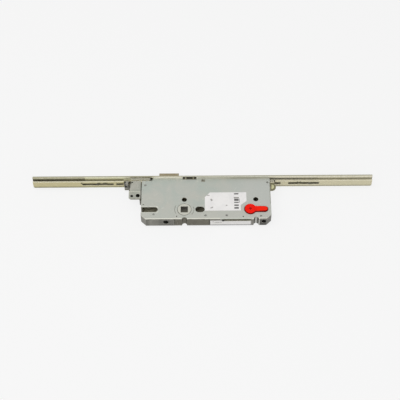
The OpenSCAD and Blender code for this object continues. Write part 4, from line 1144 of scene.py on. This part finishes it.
def floor_material(own):
    """Pale floor: a share of its colour is given off to the rays that show it, and the rest takes shadow."""
    material = bpy.data.materials.new("studio_floor")
    tree = empty_tree(material)
    matt = add(tree, "ShaderNodeBsdfDiffuse", {"Color": tone("floor")})
    glow = add(tree, "ShaderNodeEmission", {"Color": tone("floor"), "Strength": 1.0})
    share = times(tree, seen_ray(tree), own.floor_share)
    blended(tree, share, matt, glow, "ShaderNodeOutputMaterial")
    return material


def light_world(scene, own):
    """Even light all round, and the floor's colour where the background is seen."""
    world = bpy.data.worlds.new("studio_world")
    tree = empty_tree(world)
    even = add(tree, "ShaderNodeBackground", {"Color": (1, 1, 1, 1), "Strength": own.world_level})
    shown = add(tree, "ShaderNodeBackground", {"Color": tone("floor"), "Strength": 1.0})
    blended(tree, seen_ray(tree), even, shown, "ShaderNodeOutputWorld")
    scene.world = world


# Soft lights: way from the point looked at and width, in metres
KEY_PLACE, KEY_WIDTH = (-0.45, -0.3, 1.3), 1.2
FILL_PLACE, FILL_WIDTH = (0.5, -1.2, 0.7), 0.9
CLIP_START = 0.01


def soft_light(name, power, away, aim, width):
    """A square soft light that faces a point from some way off."""
    place = aim + Vector(away)
    lamp = bpy.data.lights.new(name, "AREA")
    lamp.energy = power
    lamp.size = width
    light = bpy.data.objects.new(name, lamp)
    light.location = place
    light.rotation_euler = (aim - place).to_track_quat("-Z", "Y").to_euler()
    bpy.context.scene.collection.objects.link(light)


def photo_camera(scene, own):
    """Camera at the picture's angle: its back axis from azimuth and elevation, rolled about that axis."""
    turn, lift, roll = own.azimuth, own.elevation, own.roll
    back = Vector((math.sin(turn) * math.cos(lift), -math.cos(turn) * math.cos(lift), math.sin(lift)))
    right = Vector((math.cos(turn), math.sin(turn), 0))
    up = back.cross(right)
    across = right * math.cos(roll) + up * math.sin(roll)
    upward = up * math.cos(roll) - right * math.sin(roll)
    lens = bpy.data.cameras.new("picture_camera")
    lens.sensor_fit = "HORIZONTAL"
    lens.lens = lens.sensor_width * own.focal_pixels / PHOTO_WIDTH
    lens.clip_start = CLIP_START
    camera = bpy.data.objects.new("picture_camera", lens)
    target = Vector((own.target_x, own.target_y, 0))
    camera.matrix_world = Matrix.Translation(target + back * own.distance) @ Matrix(
        (across, upward, back)).transposed().to_4x4()
    scene.collection.objects.link(camera)
    scene.camera = camera


class LOCK_OT_stage(bpy.types.Operator):
    """Set up the floor, the soft lights and the camera."""
    bl_idname = "lock.stage"
    bl_label = "Stage"

    def execute(self, context):
        scene = context.scene
        own = getattr(scene, STAGE)
        scene.view_settings.view_transform = "Standard"
        level = CAD_BOX[0][2]
        reach = own.floor_reach
        corners = [(x * reach, y * reach, level) for x, y in ((-1, -1), (1, -1), (1, 1), (-1, 1))]
        mesh = bpy.data.meshes.new("studio_floor")
        mesh.from_pydata(corners, [], [(0, 1, 2, 3)])
        mesh.materials.append(floor_material(own))
        floor = bpy.data.objects.new("studio_floor", mesh)
        scene.collection.objects.link(floor)
        light_world(scene, own)
        aim = Vector((own.target_x, own.target_y, 0))
        soft_light("key_light", own.key_power, KEY_PLACE, aim, KEY_WIDTH)
        soft_light("fill_light", own.fill_power, FILL_PLACE, aim, FILL_WIDTH)
        photo_camera(scene, own)
        return {"FINISHED"}


OPERATORS = (LOCK_OT_case_shell, LOCK_OT_rod_guide, LOCK_OT_guide_nuts, LOCK_OT_faceplate,
             LOCK_OT_drive_rods, LOCK_OT_lug_crown, LOCK_OT_bolts, LOCK_OT_key_works, LOCK_OT_springs,
             LOCK_OT_rivets, LOCK_OT_cylinder_plug, LOCK_OT_labels, LOCK_OT_stage)


class LOCK_PT_panel(bpy.types.Panel):
    """Lists the steps that finish the lock."""
    bl_idname = "LOCK_PT_panel"
    bl_label = "Door lock"
    bl_space_type = "VIEW_3D"
    bl_region_type = "UI"
    bl_category = "Door lock"

    def draw(self, context):
        for step in OPERATORS:
            self.layout.operator(step.bl_idname)
        for name in (COLOURS, SIZES, STAGE):
            group = getattr(context.scene, name)
            for key in group.__annotations__:
                self.layout.prop(group, key)


GROUPS = {COLOURS: LockColours, SIZES: LockSizes, STAGE: LockStage}
CLASSES = (*GROUPS.values(), *OPERATORS, LOCK_PT_panel)


def register():
    """Registers the classes and gives the scene its settings."""
    for kind in CLASSES:
        bpy.utils.register_class(kind)
    for name, group in GROUPS.items():
        setattr(bpy.types.Scene, name, PointerProperty(type=group))


def unregister():
    """Takes the settings and the classes away."""
    for name in GROUPS:
        delattr(bpy.types.Scene, name)
    for kind in reversed(CLASSES):
        bpy.utils.unregister_class(kind)


def main():
    """Registers the add-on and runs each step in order."""
    register()
    for step in OPERATORS:
        family, name = step.bl_idname.split(".")
        getattr(getattr(bpy.ops, family), name)()


if __name__ == "__main__":
    main()
